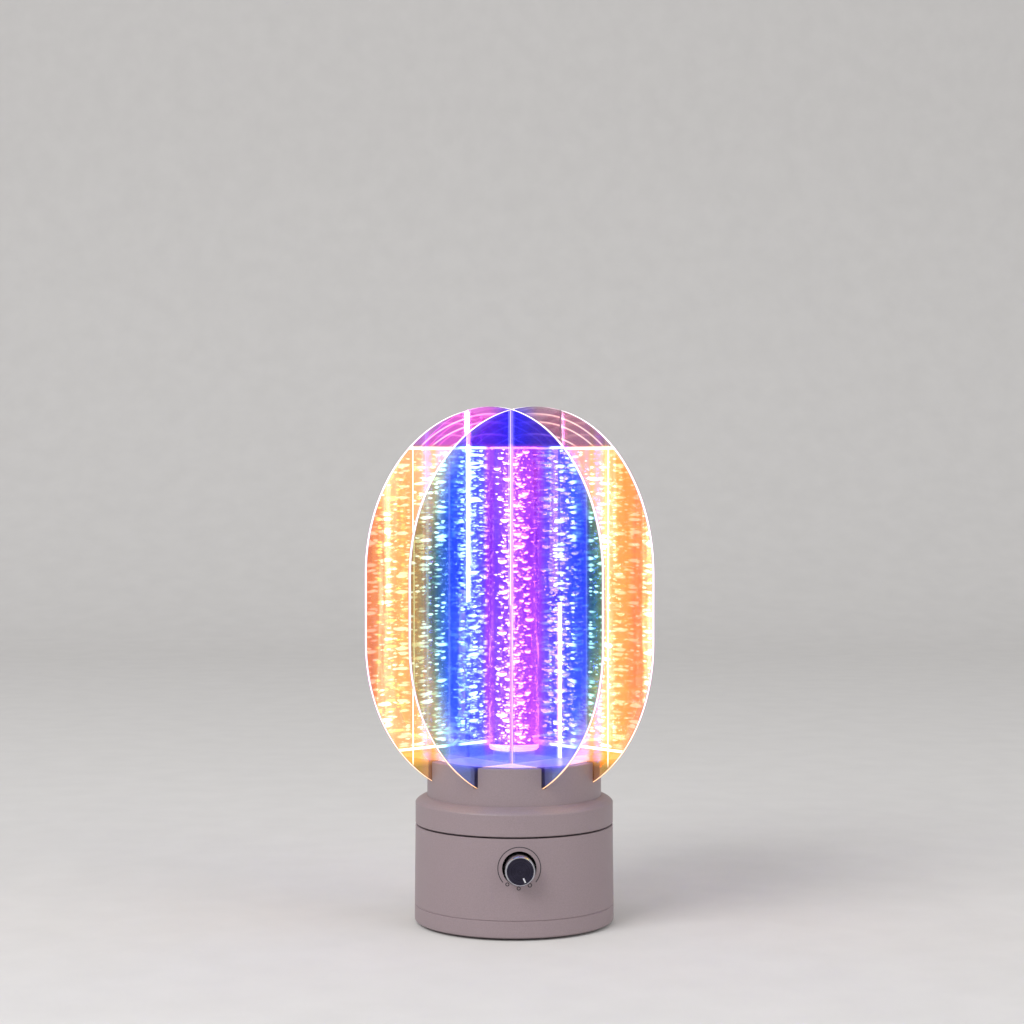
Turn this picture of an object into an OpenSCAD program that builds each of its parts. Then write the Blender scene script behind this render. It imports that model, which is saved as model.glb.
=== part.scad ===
// Night light with crossed dichroic plates around a lit bubble rod, on a turntable base.
// Millimetres, +Z up, the origin at the middle of the plane the feet stand on, the knob towards -Y.

/* [Base] */
// Diameter of the base at its foot
base_d = 99.6; // [94:0.2:112]
// Radius lost from the lower seam to the upper seam, so the moulding leaves its tool
base_draft = 0.4; // [0.1:0.1:0.8]
// Wall of the base shell and of the cover's band
base_wall = 2.4; // [1.8:0.1:3.2]
// Height of the cover's band, up to the lower seam
cover_h = 8.4; // [7:0.2:12]
// Thickness of the cover's floor
cover_floor = 2.6; // [2.2:0.1:3.4]
// Height of the base shell between the two seams
shell_h = 39.5; // [38:0.5:50]
// Running gap of the upper seam, under the turning cap
seam_gap = 0.8; // [0.5:0.1:1.5]
// Chamfer on each side of the lower seam
seam_chamfer = 0.4; // [0.2:0.1:0.6]
// Rounding of the cover's lower edge
cover_round = 1; // [0.5:0.1:1.5]

/* [Feet and posts] */
// Diameter of a rubber foot
foot_d = 10; // [8:0.5:12]
// Thickness of a rubber foot
foot_t = 1.8; // [1.4:0.1:2.6]
// Depth of the recess that holds a foot
foot_recess = 0.6; // [0.4:0.1:0.9]
// Radius of the ring of feet
foot_ring_r = 38; // [34:0.5:39]
// Number of feet
foot_count = 4; // [4:4:4]
// Diameter of a screw post in the base shell
post_d = 7; // [6:0.5:8]
// Radius of the ring of posts
post_ring_r = 41; // [40.5:0.1:41.5]
// Angle of a post from the side of the base
post_angle = 50; // [48:1:54]
// Width of the rib that ties a post to the wall
post_rib = 3; // [2:0.2:4]

/* [Screws] */
// Shank diameter of the case screws
screw_d = 2.5; // [2:0.1:2.8]
// Head diameter of the case screws
screw_head_d = 4.6; // [4.2:0.1:5]
// Head height of the case screws
screw_head_h = 1.6; // [1.2:0.1:1.8]
// Length of the case screws under the head
screw_len = 9; // [7:0.5:11]
// Shank diameter of the small screws on boards, motor and dimmer
small_screw_d = 1.6; // [1.4:0.1:1.8]
// Head diameter of the small screws
small_head_d = 3; // [2.6:0.1:3.2]
// Head height of the small screws
small_head_h = 1; // [0.8:0.1:1.1]
// Length of the small screws under the head
small_screw_len = 4.2; // [3.6:0.2:5]

/* [Turntable cap and drum] */
// Height of the cap's straight wall above the upper seam
cap_wall_h = 10.4; // [9.5:0.2:14]
// Wall of the cap
cap_wall = 2.4; // [1.8:0.1:3]
// Height of the sloping shoulder between cap and drum
shoulder_h = 3.4; // [2.5:0.1:5]
// Roundness of the shoulder: 1 is a straight slope, 2 a quarter ellipse
shoulder_round = 1.4; // [1.1:0.1:2]
// Diameter of the drum that holds the plates
drum_d = 87; // [84:0.5:92]
// Height of the drum above the shoulder
drum_h = 18.3; // [17:0.5:24]
// Wall of the drum's rim
drum_wall = 5; // [4.5:0.1:6]
// Width of the ledge under the deck
deck_ledge = 2.5; // [2:0.1:3.5]
// Thickness of the web inside the cap that the hub is screwed to
web_t = 2.5; // [2:0.1:3.5]
// Rounding of the drum's upper outer edge
rim_round = 0.6; // [0.3:0.1:1]
// Angle of the turntable at rest, from the position square to the knob
rest_turn = -6; // [-45:1:45]

/* [Plates] */
// Radius of the plate's round ends
plate_r = 81; // [74:0.5:88]
// Height of the straight sides between the round ends
plate_straight = 33.5; // [20:0.5:50]
// Thickness of a plate
plate_t = 2; // [1.6:0.1:2.6]
// Distance between the middles of two parallel plates
plate_gap = 33.5; // [30:0.5:40]
// Depth of the rim slots
slot_depth = 10; // [8:0.5:11]
// Play on each side of a plate in a slot
slot_clear = 0.15; // [0.1:0.05:0.25]
// Height of the crossing's middle above the drum
lap_h = 78; // [60:1:95]
// How far a plate's lower corner stays inside the drum's outer face
tip_inset = 0.6; // [0.4:0.1:1.5]

/* [Rod and deck] */
// Diameter of the bubble rod
rod_d = 25; // [20:0.5:27]
// Length of the bubble rod
rod_len = 151; // [120:1:165]
// Chamfer on the rod's ends
rod_chamfer = 1; // [0.5:0.1:1.5]
// Number of large air bubbles in the rod
bubble_count = 150; // [60:10:180]
// Radius of the smallest of these bubbles
bubble_min_r = 0.5; // [0.3:0.1:0.8]
// Radius of the largest of these bubbles
bubble_max_r = 1.6; // [1:0.1:1.6]
// Radius of the rod's core, where the bubbles lie
bubble_core_r = 5.8; // [4:0.2:7]
// Length left without bubbles at each end of the rod
bubble_margin = 3; // [2.5:0.5:8]
// Height of the rod's lower end above the deck
rod_lift = 4.5; // [3:0.5:6]
// Diameter of the light seat under the rod
seat_d = 21; // [19:0.5:22]
// Diameter of the seat's neck in the deck
seat_neck_d = 18; // [15:0.5:18.5]
// Thickness of the seat's lower flange
seat_flange_t = 1.2; // [1:0.1:1.5]
// Thickness of the deck
deck_t = 3; // [2.4:0.1:3.6]
// Radial play of the deck in the drum
deck_clear = 0.25; // [0.15:0.05:0.4]

/* [Light column] */
// Diameter of the column the hub turns on
column_d = 20; // [19:0.5:21]
// Bore of the column, for the leads
column_bore = 8; // [7:0.5:9]
// Diameter of the column's foot
column_foot_d = 34; // [32:0.5:36]
// Thickness of the column's foot
column_foot_t = 3; // [2.5:0.1:3.5]
// Radial clearance of the hub on the column, and of the shafts in their bores
run_clear = 0.05; // [0.02:0.01:0.1]
// Thickness of the thrust washer
washer_t = 0.8; // [0.6:0.1:1]
// Axial play above the washer and under the retaining ring
axial_clear = 0.1; // [0.05:0.05:0.2]
// Thickness of the retaining ring
ring_t = 1; // [0.8:0.1:1.2]
// Depth of the ring's groove in the column
ring_groove = 0.6; // [0.4:0.1:0.8]
// Height of the column above the retaining ring
column_tip = 3.6; // [3:0.1:4]
// Thickness of the light board
led_board_t = 1.2; // [1:0.1:1.6]
// Width of the emitter's square base
led_w = 5; // [4:0.5:6]
// Height of the emitter's square base
led_base_h = 0.8; // [0.6:0.1:1]
// Diameter of the emitter's dome
led_dome_d = 4; // [3:0.5:4.5]

/* [Drive] */
// Module of the gears
gear_module = 0.8; // [0.7:0.05:0.85]
// Teeth of the hub gear
gear_teeth = 60; // [56:2:62]
// Teeth of the pinion
pinion_teeth = 20; // [18:1:22]
// Face width of the hub gear
gear_t = 5; // [4:0.5:6]
// Face width of the pinion
pinion_t = 6; // [5.5:0.5:7]
// Thinning of each tooth at the pitch circle, for backlash
gear_backlash = 0.1; // [0.06:0.01:0.14]
// Angle of the motor around the axis
motor_angle = 195; // [190:1:200]
// Width of the motor and its gearbox, around the axis
motor_w = 12; // [10:0.5:13]
// Depth of the motor and its gearbox, away from the axis
motor_depth = 10; // [9:0.5:11]
// Height of the gearbox
gearbox_h = 9; // [8:0.5:10]
// Height of the motor can
can_h = 13; // [11:0.5:14]
// Diameter of the motor's output shaft
motor_shaft_d = 3; // [2.5:0.1:3.5]
// Length of the output shaft inside the gearbox
motor_shaft_in = 5.5; // [4:0.5:6]
// Wall of the hub's tube
hub_wall = 3.8; // [3:0.1:4]
// Diameter of the hub's upper flange
hub_flange_d = 48; // [46:1:54]
// Thickness of the hub's upper flange
hub_flange_t = 2.5; // [2:0.1:3]
// Radius of the hub's screws
hub_screw_r = 19.5; // [18.8:0.1:20]

/* [Chassis and electronics] */
// Thickness of the chassis plate
chassis_t = 2; // [1.6:0.1:2.6]
// Distance from the chassis plate's upper face to the upper seam
chassis_drop = 3.6; // [3:0.1:4.2]
// Radial play of the chassis plate in the shell
chassis_clear = 1.2; // [0.8:0.1:2]
// Radius of the column's screws
column_screw_r = 13.5; // [13:0.1:13.8]
// Thickness of the circuit boards
board_t = 1.6; // [1.2:0.1:1.8]
// Width of the main board
main_board_w = 40; // [34:1:41]
// Length of the main board
main_board_l = 36; // [30:1:37]
// Distance from the axis back to the main board's rear edge
main_board_y = 1.5; // [0:0.5:2]
// Height of the boards' standoffs above the cover's floor
standoff_h = 9; // [8:0.5:10]
// Diameter of a standoff
standoff_d = 4.6; // [4:0.2:5]
// Distance from a board's edge to its screw holes
board_inset = 3; // [2.5:0.1:3.5]
// Diameter of the rechargeable cell
cell_d = 18.4; // [16:0.2:18.6]
// Length of the rechargeable cell
cell_len = 65; // [60:1:67]
// Distance of the cell behind the axis
cell_y = 14; // [13.5:0.5:15]
// Space between the cell and the cover's floor
cell_lift = 1.2; // [1:0.1:1.8]
// Play of the cell in its cradles and strap
cell_clear = 0.2; // [0.1:0.05:0.3]
// Thickness of the cell's strap
strap_t = 1; // [0.8:0.1:1.4]
// Width of the cell's strap
strap_w = 9; // [7:0.5:11]
// Length of each foot of the strap
strap_foot = 5; // [4.6:0.2:6]
// Diameter of a lead with its insulation
lead_d = 1.3; // [1:0.1:1.5]
// Height a lead rises straight from its board before it bends
lead_rise = 2.4; // [2:0.1:3]
// Width of the control chip
chip_w = 8; // [6:0.5:9]
// Height of the control chip
chip_h = 1.2; // [0.8:0.1:1.6]
// Width of the charging coil
coil_w = 6; // [4:0.5:7]
// Height of the charging coil
coil_h = 3; // [2:0.1:4]
// Width of the lead connector
plug_w = 6; // [4:0.5:8]
// Length of the lead connector
plug_l = 4; // [3:0.5:5]
// Height of the lead connector
plug_h = 4.5; // [3:0.5:5]
// Diameter of the capacitor
cap_d = 6; // [5:0.5:7]
// Height of the capacitor
cap_h = 7; // [5:0.5:9]

/* [Charging socket] */
// Width of the socket's shell
usb_w = 9; // [8.94:0.02:9.2]
// Height of the socket's shell
usb_h = 3.2; // [3.16:0.02:3.4]
// Depth of the socket's shell
usb_depth = 7.4; // [6.5:0.1:8]
// Wall of the socket's shell
usb_wall = 0.3; // [0.25:0.05:0.35]
// Thickness of the tongue inside the socket
usb_tongue = 0.7; // [0.6:0.05:0.8]
// Gap around the socket in the base wall
usb_clear = 0.5; // [0.3:0.1:0.8]
// How far the socket's mouth lies inside the wall's outer face
usb_recess = 1; // [0.6:0.1:1.4]
// Width of the socket's board
usb_board_w = 18; // [16:0.5:20]
// Length of the socket's board
usb_board_l = 14; // [13:0.5:15]

/* [Knob] */
// Height of the knob's axis above the lower seam
knob_h = 25.4; // [24:0.2:27]
// Diameter of the knob
knob_d = 15; // [14:0.2:17]
// Reach of the knob out of the base wall
knob_out = 8; // [7:0.5:11]
// Depth of the knob inside the base wall's outer face
knob_sink = 4; // [3.5:0.1:4.5]
// Gap between the knob and the hole in the base wall
knob_gap = 0.8; // [0.4:0.1:0.9]
// Bevel around the knob's face
knob_bevel = 0.5; // [0.4:0.1:0.8]
// Diameter of the inlaid face
knob_face_d = 13; // [11:0.2:13.2]
// Thickness of the inlaid face
knob_face_t = 0.8; // [0.6:0.1:1]
// Travel of the knob when it is pressed
press_travel = 0.8; // [0.4:0.1:1]
// Diameter of the dimmer's shaft
shaft_d = 6; // [5:0.5:6.35]
// Length of the shaft in the knob
shaft_grip = 8; // [6:0.5:8.5]
// Width of the dimmer's square body
dimmer_w = 12; // [11:0.5:13]
// Depth of the dimmer's body
dimmer_depth = 7; // [6.5:0.1:7.5]
// Diameter of the dimmer's bushing
bushing_d = 8; // [7.8:0.1:9]
// Length of the dimmer's bushing
bushing_len = 4.2; // [3.6:0.1:5]
// Thickness of the press plunger behind the shaft
plunger_t = 2; // [1.6:0.1:2.4]
// Width of the dimmer's board
dimmer_board_w = 27; // [26:0.5:28]
// Height of the dimmer's board
dimmer_board_h = 15; // [13:0.5:15.5]
// Angle of the pointer at rest, from straight down towards the right
pointer_angle = 25; // [0:1:60]
// Length of the pointer line
pointer_len = 2.4; // [1.5:0.1:3]
// Width of the pointer line
pointer_w = 0.7; // [0.5:0.1:1]

/* [Hidden] */
$fn = 72;
eps = 0.01;
half = 0.5;
round_steps = 6;
flank_steps = 6;
pressure_angle = 20;
hole_play = 0.1;
seat_play = 0.1;
base_r = base_d * half;
seam_r = base_r - base_draft;
shell_in_r = seam_r - base_wall;
drum_r = drum_d * half;
drum_in_r = drum_r - drum_wall;
ledge_r = drum_in_r - deck_ledge;
plate_a = plate_gap * half;
plate_half_t = plate_t * half;
slot_w = plate_t + 2 * slot_clear;

z_cover = foot_t - foot_recess;
z_floor = z_cover + cover_floor;
z_low_seam = z_cover + cover_h;
z_shell_top = z_low_seam + shell_h;
z_cap = z_shell_top + seam_gap;
z_cap_top = z_cap + cap_wall_h;
z_drum = z_cap_top + shoulder_h;
z_drum_top = z_drum + drum_h;
z_slot = z_drum_top - slot_depth;
z_deck = z_drum_top - deck_t;
z_web_top = z_drum + web_t;
z_chassis_top = z_shell_top - chassis_drop;
z_chassis = z_chassis_top - chassis_t;
z_washer = z_chassis_top + column_foot_t;
z_gear = z_washer + washer_t + axial_clear;
z_hub_flange = z_drum - hub_flange_t;
z_hub_top = z_web_top + half;
z_ring = z_hub_top + axial_clear;
z_column_top = z_ring + ring_t + column_tip;
z_led = z_column_top + led_board_t;
z_rod = z_drum_top + rod_lift;

z_plate_foot = z_slot + slot_clear;
z_plate_edge = z_drum_top + slot_clear;
z_lap = z_drum_top + lap_h;
plate_tip_u = sqrt(pow(drum_r, 2) - pow(plate_a, 2)) - tip_inset;
plate_tab_u = sqrt(pow(drum_in_r, 2) - pow(plate_a - plate_half_t, 2)) + slot_clear;
z_plate_low = z_plate_foot + sqrt(pow(plate_r, 2) - pow(plate_tip_u, 2));
z_plate_high = z_plate_low + plate_straight;
z_plate_top = z_plate_high + plate_r;
plate_turn = rest_turn + 45;

golden_angle = 137.508;
bubble_reach_step = 0.7549;
bubble_reach_start = 0.31;
bubble_size_step = 0.5698;
bubble_size_power = 1.8;
bubble_sides = 16;

gear_r = gear_module * gear_teeth * half;
pinion_r = gear_module * pinion_teeth * half;
gear_distance = gear_r + pinion_r;
gear_phase = motor_angle + 180 / gear_teeth;
pinion_phase = motor_angle + 180;
z_pinion = z_gear - (pinion_t - gear_t) * half;
z_gearbox = z_chassis - gearbox_h;
z_can = z_gearbox - can_h;
hub_r = column_d * half + run_clear + hub_wall;
hub_screw_n = 4;
column_screw_n = 3;

z_board = z_floor + standoff_h;
z_board_top = z_board + board_t;
z_cell = z_floor + cell_lift + cell_d * half;
usb_z = z_board_top + usb_h * half;
usb_mouth_y = base_r - base_draft - usb_recess;
usb_board_y = shell_in_r - usb_board_l - board_inset * half;

knob_z = z_low_seam + knob_h;
knob_wall_r = base_r - base_draft * knob_h / shell_h;
knob_face_y = -knob_wall_r - knob_out;
knob_back_y = -knob_wall_r + knob_sink;
bushing_y = knob_back_y + press_travel + half;
dimmer_y = bushing_y + bushing_len;
dimmer_back_y = dimmer_y + dimmer_depth;
plunger_y = dimmer_back_y - press_travel - plunger_t - hole_play;
dimmer_screw_x = dimmer_board_w * half - board_inset * 0.8;
dimmer_post_d = small_head_d + 1.6;
cell_cradle_t = 4;
cell_cradle_x = cell_len * 0.315;
strap_x = -9;

// Angles of the base shell's posts, two in front and two behind.
post_angles = [post_angle, 180 - post_angle, 180 + post_angle, -post_angle];

// Points of the shoulder's curve from the cap's wall up to the drum's foot.
function shoulder_point(t) =
    [drum_r + (seam_r - drum_r) * pow(cos(t), 2 / shoulder_round),
     z_cap_top + shoulder_h * pow(sin(t), 2 / shoulder_round)];

// Points of a quarter round about c, from angle a0 to a1.
function round_points(c, r, a0, a1) =
    [for (i = [0:round_steps])
        let (a = a0 + (a1 - a0) * i / round_steps)
        c + r * [cos(a), sin(a)]];

// What a number has behind its point. Steps of an uneven share spread the bubbles without a pattern.
function part_of(x) = x - floor(x);

// Middle and radius of bubble i, counted upwards and turned by the golden angle from one to the next.
function bubble_middle(i) =
    let (reach = bubble_core_r * sqrt(part_of(i * bubble_reach_step + bubble_reach_start)))
    let (rise = (rod_len - 2 * bubble_margin) * (i + half) / bubble_count)
    [reach * cos(i * golden_angle), reach * sin(i * golden_angle), z_rod + bubble_margin + rise];
function bubble_r(i) =
    bubble_min_r + (bubble_max_r - bubble_min_r) * pow(part_of(i * bubble_size_step), bubble_size_power);

// Involute of an angle in degrees.
function involute(a) = tan(a) * 180 / PI - a;

// Half angle of a tooth at radius r, for a gear with n teeth.
function tooth_angle(n, r) =
    let (rp = gear_module * n * half)
    let (rb = rp * cos(pressure_angle))
    let (at_pitch = 90 / n - gear_backlash * half / rp * 180 / PI)
    at_pitch + involute(pressure_angle) - involute(acos(min(1, rb / max(r, rb))));

// Points of one tooth, up one flank and down the other, about the angle a.
function tooth_points(n, a) =
    let (rp = gear_module * n * half)
    let (root = rp - 1.25 * gear_module)
    let (tip = rp + gear_module)
    let (start = max(root, rp * cos(pressure_angle)))
    let (rs = concat([root], [for (i = [0:flank_steps]) start + (tip - start) * i / flank_steps]))
    concat(
        [for (r = rs) r * [cos(a - tooth_angle(n, r)), sin(a - tooth_angle(n, r))]],
        [for (i = [len(rs) - 1:-1:0])
            let (r = rs[i])
            r * [cos(a + tooth_angle(n, r)), sin(a + tooth_angle(n, r))]]);

// Outline of a gear with n teeth, one of them at the angle a.
module gear_outline(n, a) {
    polygon([for (k = [0:n - 1]) each tooth_points(n, a + k * 360 / n)]);
}

// Points of a smooth run through the points p, for a lead.
lead_steps = 4;
function run_point(p, i, t) =
    let (n = len(p) - 1)
    let (a = p[max(i - 1, 0)])
    let (b = p[i])
    let (c = p[min(i + 1, n)])
    let (d = p[min(i + 2, n)])
    half * (2 * b + (c - a) * t + (2 * a - 5 * b + 4 * c - d) * t * t
            + (3 * b - a - 3 * c + d) * t * t * t);
function run_points(p) =
    concat([for (i = [0:len(p) - 2]) for (k = [0:lead_steps - 1]) run_point(p, i, k / lead_steps)],
           [p[len(p) - 1]]);

// A lead of round section through the points p, its ends square to the directions out and in.
// The direction side is one that the run never takes.
lead_sides = 8;
module lead(p, out, in, side) {
    q = run_points(p);
    n = len(q);
    rings = [for (i = [0:n - 1])
        let (along = i == 0 ? out : i == n - 1 ? in : q[i + 1] - q[i - 1])
        let (x = cross(along, side) / norm(cross(along, side)))
        let (y = cross(along, x) / norm(cross(along, x)))
        for (j = [0:lead_sides - 1])
            q[i] + lead_d * half * (x * cos(j * 360 / lead_sides) + y * sin(j * 360 / lead_sides))];
    low = [for (j = [lead_sides - 1:-1:0]) j];
    high = [for (j = [0:lead_sides - 1]) (n - 1) * lead_sides + j];
    sides = [for (i = [0:n - 2]) for (j = [0:lead_sides - 1])
        let (k = (j + 1) % lead_sides)
        [i * lead_sides + j, i * lead_sides + k,
         (i + 1) * lead_sides + k, (i + 1) * lead_sides + j]];
    polyhedron(rings, concat([low], sides, [high]), convexity = 6);
}

// A pan-head screw that points down, its head's underside at the origin, with a cross recess.
module screw(d, head_d, head_h, length) {
    recess = d * 0.3;
    difference() {
        union() {
            translate([0, 0, -length])
                cylinder(d = d, h = length + eps);
            cylinder(d = head_d, h = head_h);
        }
        for (a = [0, 90])
            rotate([0, 0, a])
                translate([-head_d * 0.3, -recess * half, head_h * 0.4])
                    cube([head_d * 0.6, recess, head_h]);
    }
}

module case_screw() {
    screw(screw_d, screw_head_d, screw_head_h, screw_len);
}

module small_screw() {
    screw(small_screw_d, small_head_d, small_head_h, small_screw_len);
}

// Copies the child to each post, at the height z.
module at_posts(z) {
    for (a = post_angles)
        translate([post_ring_r * cos(a), post_ring_r * sin(a), z])
            children();
}

// Copies the child around the axis, n times at the radius r.
module around(n, r, z, first) {
    for (i = [0:n - 1])
        rotate([0, 0, first + i * 360 / n])
            translate([r, 0, z])
                children();
}

// Copies the child to the screw holes of the main board and of the socket's board.
module at_board_screws(z) {
    for (sx = [-1, 1]) {
        for (y = [main_board_y - board_inset, main_board_y - main_board_l + board_inset])
            translate([sx * (main_board_w * half - board_inset), y, z])
                children();
        translate([sx * (usb_board_w * half - board_inset), usb_board_y + board_inset, z])
            children();
    }
}

// Copies the child to the two feet of the cell's strap, at the height z.
module at_strap_feet(z) {
    for (s = [-1, 1])
        translate([strap_x,
                   cell_y + s * (cell_d * half + cell_clear + strap_t + strap_foot * half), z])
            children();
}

// Copies the child to the two screws of the dimmer board, pointing along -Y from the plane y.
module at_dimmer_screws(y) {
    for (s = [-1, 1])
        translate([s * dimmer_screw_x, y, knob_z])
            rotate([-90, 0, 0])
                children();
}

module base_shell() {
    color("#8a7480")
    difference() {
        union() {
            rotate_extrude()
                polygon([[shell_in_r, z_low_seam],
                         [base_r - seam_chamfer, z_low_seam],
                         [base_r, z_low_seam + seam_chamfer],
                         [seam_r, z_shell_top - seam_chamfer],
                         [seam_r - seam_chamfer, z_shell_top],
                         [shell_in_r, z_shell_top]]);
            at_posts(z_low_seam)
                cylinder(d = post_d, h = z_chassis - z_low_seam);
            for (a = post_angles)
                rotate([0, 0, a])
                    translate([post_ring_r, -post_rib * half, z_low_seam + 3])
                        cube([shell_in_r - post_ring_r + half, post_rib, z_chassis - z_low_seam - 5]);
            intersection() {
                at_dimmer_screws(-shell_in_r)
                    cylinder(d = dimmer_post_d, h = dimmer_back_y + shell_in_r);
                cylinder(r = shell_in_r + half, h = z_shell_top);
            }
        }
        translate([0, -shell_in_r + base_wall, knob_z])
            rotate([90, 0, 0])
                cylinder(d = knob_d + 2 * knob_gap, h = 3 * base_wall);
        for (s = [-1, 1])
            translate([s * (usb_w - usb_h) * half, shell_in_r - base_wall, usb_z])
                rotate([-90, 0, 0])
                    cylinder(d = usb_h + 2 * usb_clear, h = 3 * base_wall);
        translate([-(usb_w - usb_h) * half, shell_in_r - base_wall, usb_z - usb_h * half - usb_clear])
            cube([usb_w - usb_h, 3 * base_wall, usb_h + 2 * usb_clear]);
        at_posts(z_low_seam - eps)
            cylinder(d = screw_d + hole_play, h = screw_len);
        at_posts(z_chassis - screw_len)
            cylinder(d = screw_d + hole_play, h = screw_len + eps);
        at_dimmer_screws(dimmer_back_y - small_screw_len)
            cylinder(d = small_screw_d + hole_play, h = small_screw_len + eps);
    }
}

module bottom_cover() {
    spigot_r = shell_in_r - slot_clear;
    spigot_w = 1.2;
    spigot_h = 2;
    head_room = screw_head_h + 0.8;
    color("#806c77")
    difference() {
        union() {
            rotate_extrude()
                polygon(concat(
                    [[0, z_cover]],
                    round_points([base_r - cover_round, z_cover + cover_round], cover_round, -90, 0),
                    [[base_r, z_low_seam - seam_chamfer],
                     [base_r - seam_chamfer, z_low_seam],
                     [spigot_r, z_low_seam],
                     [spigot_r, z_low_seam + spigot_h],
                     [spigot_r - spigot_w, z_low_seam + spigot_h],
                     [spigot_r - spigot_w, z_floor],
                     [0, z_floor]]));
            at_posts(z_floor - eps)
                cylinder(d = post_d, h = z_low_seam - z_floor + eps);
            at_board_screws(z_floor - eps)
                cylinder(d = standoff_d, h = standoff_h + eps);
            for (s = [-1, 1])
                translate([s * cell_cradle_x - cell_cradle_t * half, cell_y - cell_d * 0.4, z_floor - eps])
                    cube([cell_cradle_t, cell_d * 0.8, cell_lift + cell_d * 0.3]);
        }
        translate([-cell_len * half, cell_y, z_cell])
            rotate([0, 90, 0])
                cylinder(d = cell_d + 2 * cell_clear, h = cell_len);
        at_posts(z_cover - eps) {
            cylinder(d = screw_d + 2 * hole_play, h = cover_h + 1);
            cylinder(d = screw_head_d + 2 * hole_play, h = head_room + eps);
        }
        around(foot_count, foot_ring_r, z_cover - eps, 0)
            cylinder(d = foot_d + hole_play, h = foot_recess + eps);
        at_board_screws(z_board - small_screw_len)
            cylinder(d = small_screw_d + hole_play, h = small_screw_len + eps);
        at_strap_feet(z_cover + half)
            cylinder(d = small_screw_d + hole_play, h = cover_floor);
        at_posts(z_low_seam)
            cylinder(d = post_d + 2 * slot_clear, h = spigot_h + 1);
    }
}

module rubber_feet() {
    color("#2a2a2c")
    around(foot_count, foot_ring_r, 0, 0)
        cylinder(d = foot_d, h = foot_t);
}

module cover_screws() {
    color("#9a9ca0")
    at_posts(z_cover + screw_head_h + 0.8)
        rotate([180, 0, 0])
            case_screw();
}

module chassis_plate() {
    color("#6f7276")
    difference() {
        translate([0, 0, z_chassis])
            cylinder(r = shell_in_r - chassis_clear, h = chassis_t);
        translate([0, 0, z_chassis - eps])
            cylinder(d = column_bore, h = chassis_t + 2 * eps);
        at_posts(z_chassis - eps)
            cylinder(d = screw_d + 2 * hole_play, h = chassis_t + 2 * eps);
        around(column_screw_n, column_screw_r, z_chassis - eps, 90)
            cylinder(d = screw_d + 2 * hole_play, h = chassis_t + 2 * eps);
        rotate([0, 0, motor_angle])
            translate([gear_distance, 0, z_chassis - eps]) {
                cylinder(d = motor_shaft_d + 2, h = chassis_t + 2 * eps);
                for (s = [-1, 1])
                    translate([0, s * motor_w * 0.36, 0])
                        cylinder(d = small_screw_d + hole_play, h = chassis_t + 2 * eps);
            }
    }
}

module chassis_screws() {
    color("#9a9ca0")
    at_posts(z_chassis_top)
        case_screw();
}

module light_column() {
    color("#b9bcc0")
    difference() {
        union() {
            translate([0, 0, z_chassis_top])
                cylinder(d = column_foot_d, h = column_foot_t);
            translate([0, 0, z_washer - eps])
                cylinder(d = column_d, h = z_column_top - z_washer + eps);
        }
        translate([0, 0, z_chassis_top - eps])
            cylinder(d = column_bore, h = z_column_top - z_chassis_top + 2 * eps);
        translate([0, 0, z_ring])
            difference() {
                cylinder(d = column_d + 1, h = ring_t);
                translate([0, 0, -eps])
                    cylinder(d = column_d - 2 * ring_groove, h = ring_t + 2 * eps);
            }
        around(column_screw_n, column_screw_r, z_chassis_top - eps, 90)
            cylinder(d = screw_d + hole_play, h = column_foot_t - half);
    }
}

module column_screws() {
    length = chassis_t + column_foot_t - 1;
    color("#9a9ca0")
    around(column_screw_n, column_screw_r, z_chassis, 90)
        rotate([180, 0, 0])
            screw(screw_d, screw_head_d, screw_head_h, length);
}

module thrust_washer() {
    color("#e8e4d8")
    translate([0, 0, z_washer])
        difference() {
            cylinder(d = column_foot_d - 2, h = washer_t);
            translate([0, 0, -eps])
                cylinder(d = column_d + 2 * hole_play, h = washer_t + 2 * eps);
        }
}

module retaining_ring() {
    ring_in_r = column_d * half - ring_groove + run_clear;
    ring_out_r = column_d * half + hub_wall * 0.6;
    ring_mouth = column_d * 0.35;
    color("#7d8085")
    translate([0, 0, z_ring])
        difference() {
            cylinder(r = ring_out_r, h = ring_t);
            translate([0, 0, -eps])
                cylinder(r = ring_in_r, h = ring_t + 2 * eps);
            translate([-ring_mouth * half, 0, -eps])
                cube([ring_mouth, 2 * ring_out_r, ring_t + 2 * eps]);
        }
}

module light_board() {
    color("#e9ebe8")
    translate([0, 0, z_column_top])
        cylinder(d = column_d - 1, h = led_board_t);
}

module light_emitter() {
    color("#f6e7a8")
    union() {
        translate([-led_w * half, -led_w * half, z_led])
            cube([led_w, led_w, led_base_h]);
        translate([0, 0, z_led + led_base_h])
            intersection() {
                sphere(d = led_dome_d);
                translate([-led_dome_d, -led_dome_d, -led_base_h * half])
                    cube([2 * led_dome_d, 2 * led_dome_d, led_dome_d]);
            }
    }
}

// Puts the child at the motor, its own X away from the axis.
module at_motor(z) {
    rotate([0, 0, motor_angle])
        translate([gear_distance, 0, z])
            children();
}

module motor_gearbox() {
    color("#c9a85a")
    at_motor(z_gearbox)
        difference() {
            translate([-motor_depth * half, -motor_w * half, 0])
                cube([motor_depth, motor_w, gearbox_h]);
            translate([0, 0, gearbox_h - motor_shaft_in - hole_play])
                cylinder(d = motor_shaft_d + 2 * run_clear, h = motor_shaft_in + 1);
            for (s = [-1, 1])
                translate([0, s * motor_w * 0.36, gearbox_h - small_screw_len])
                    cylinder(d = small_screw_d + hole_play, h = small_screw_len + eps);
        }
}

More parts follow.
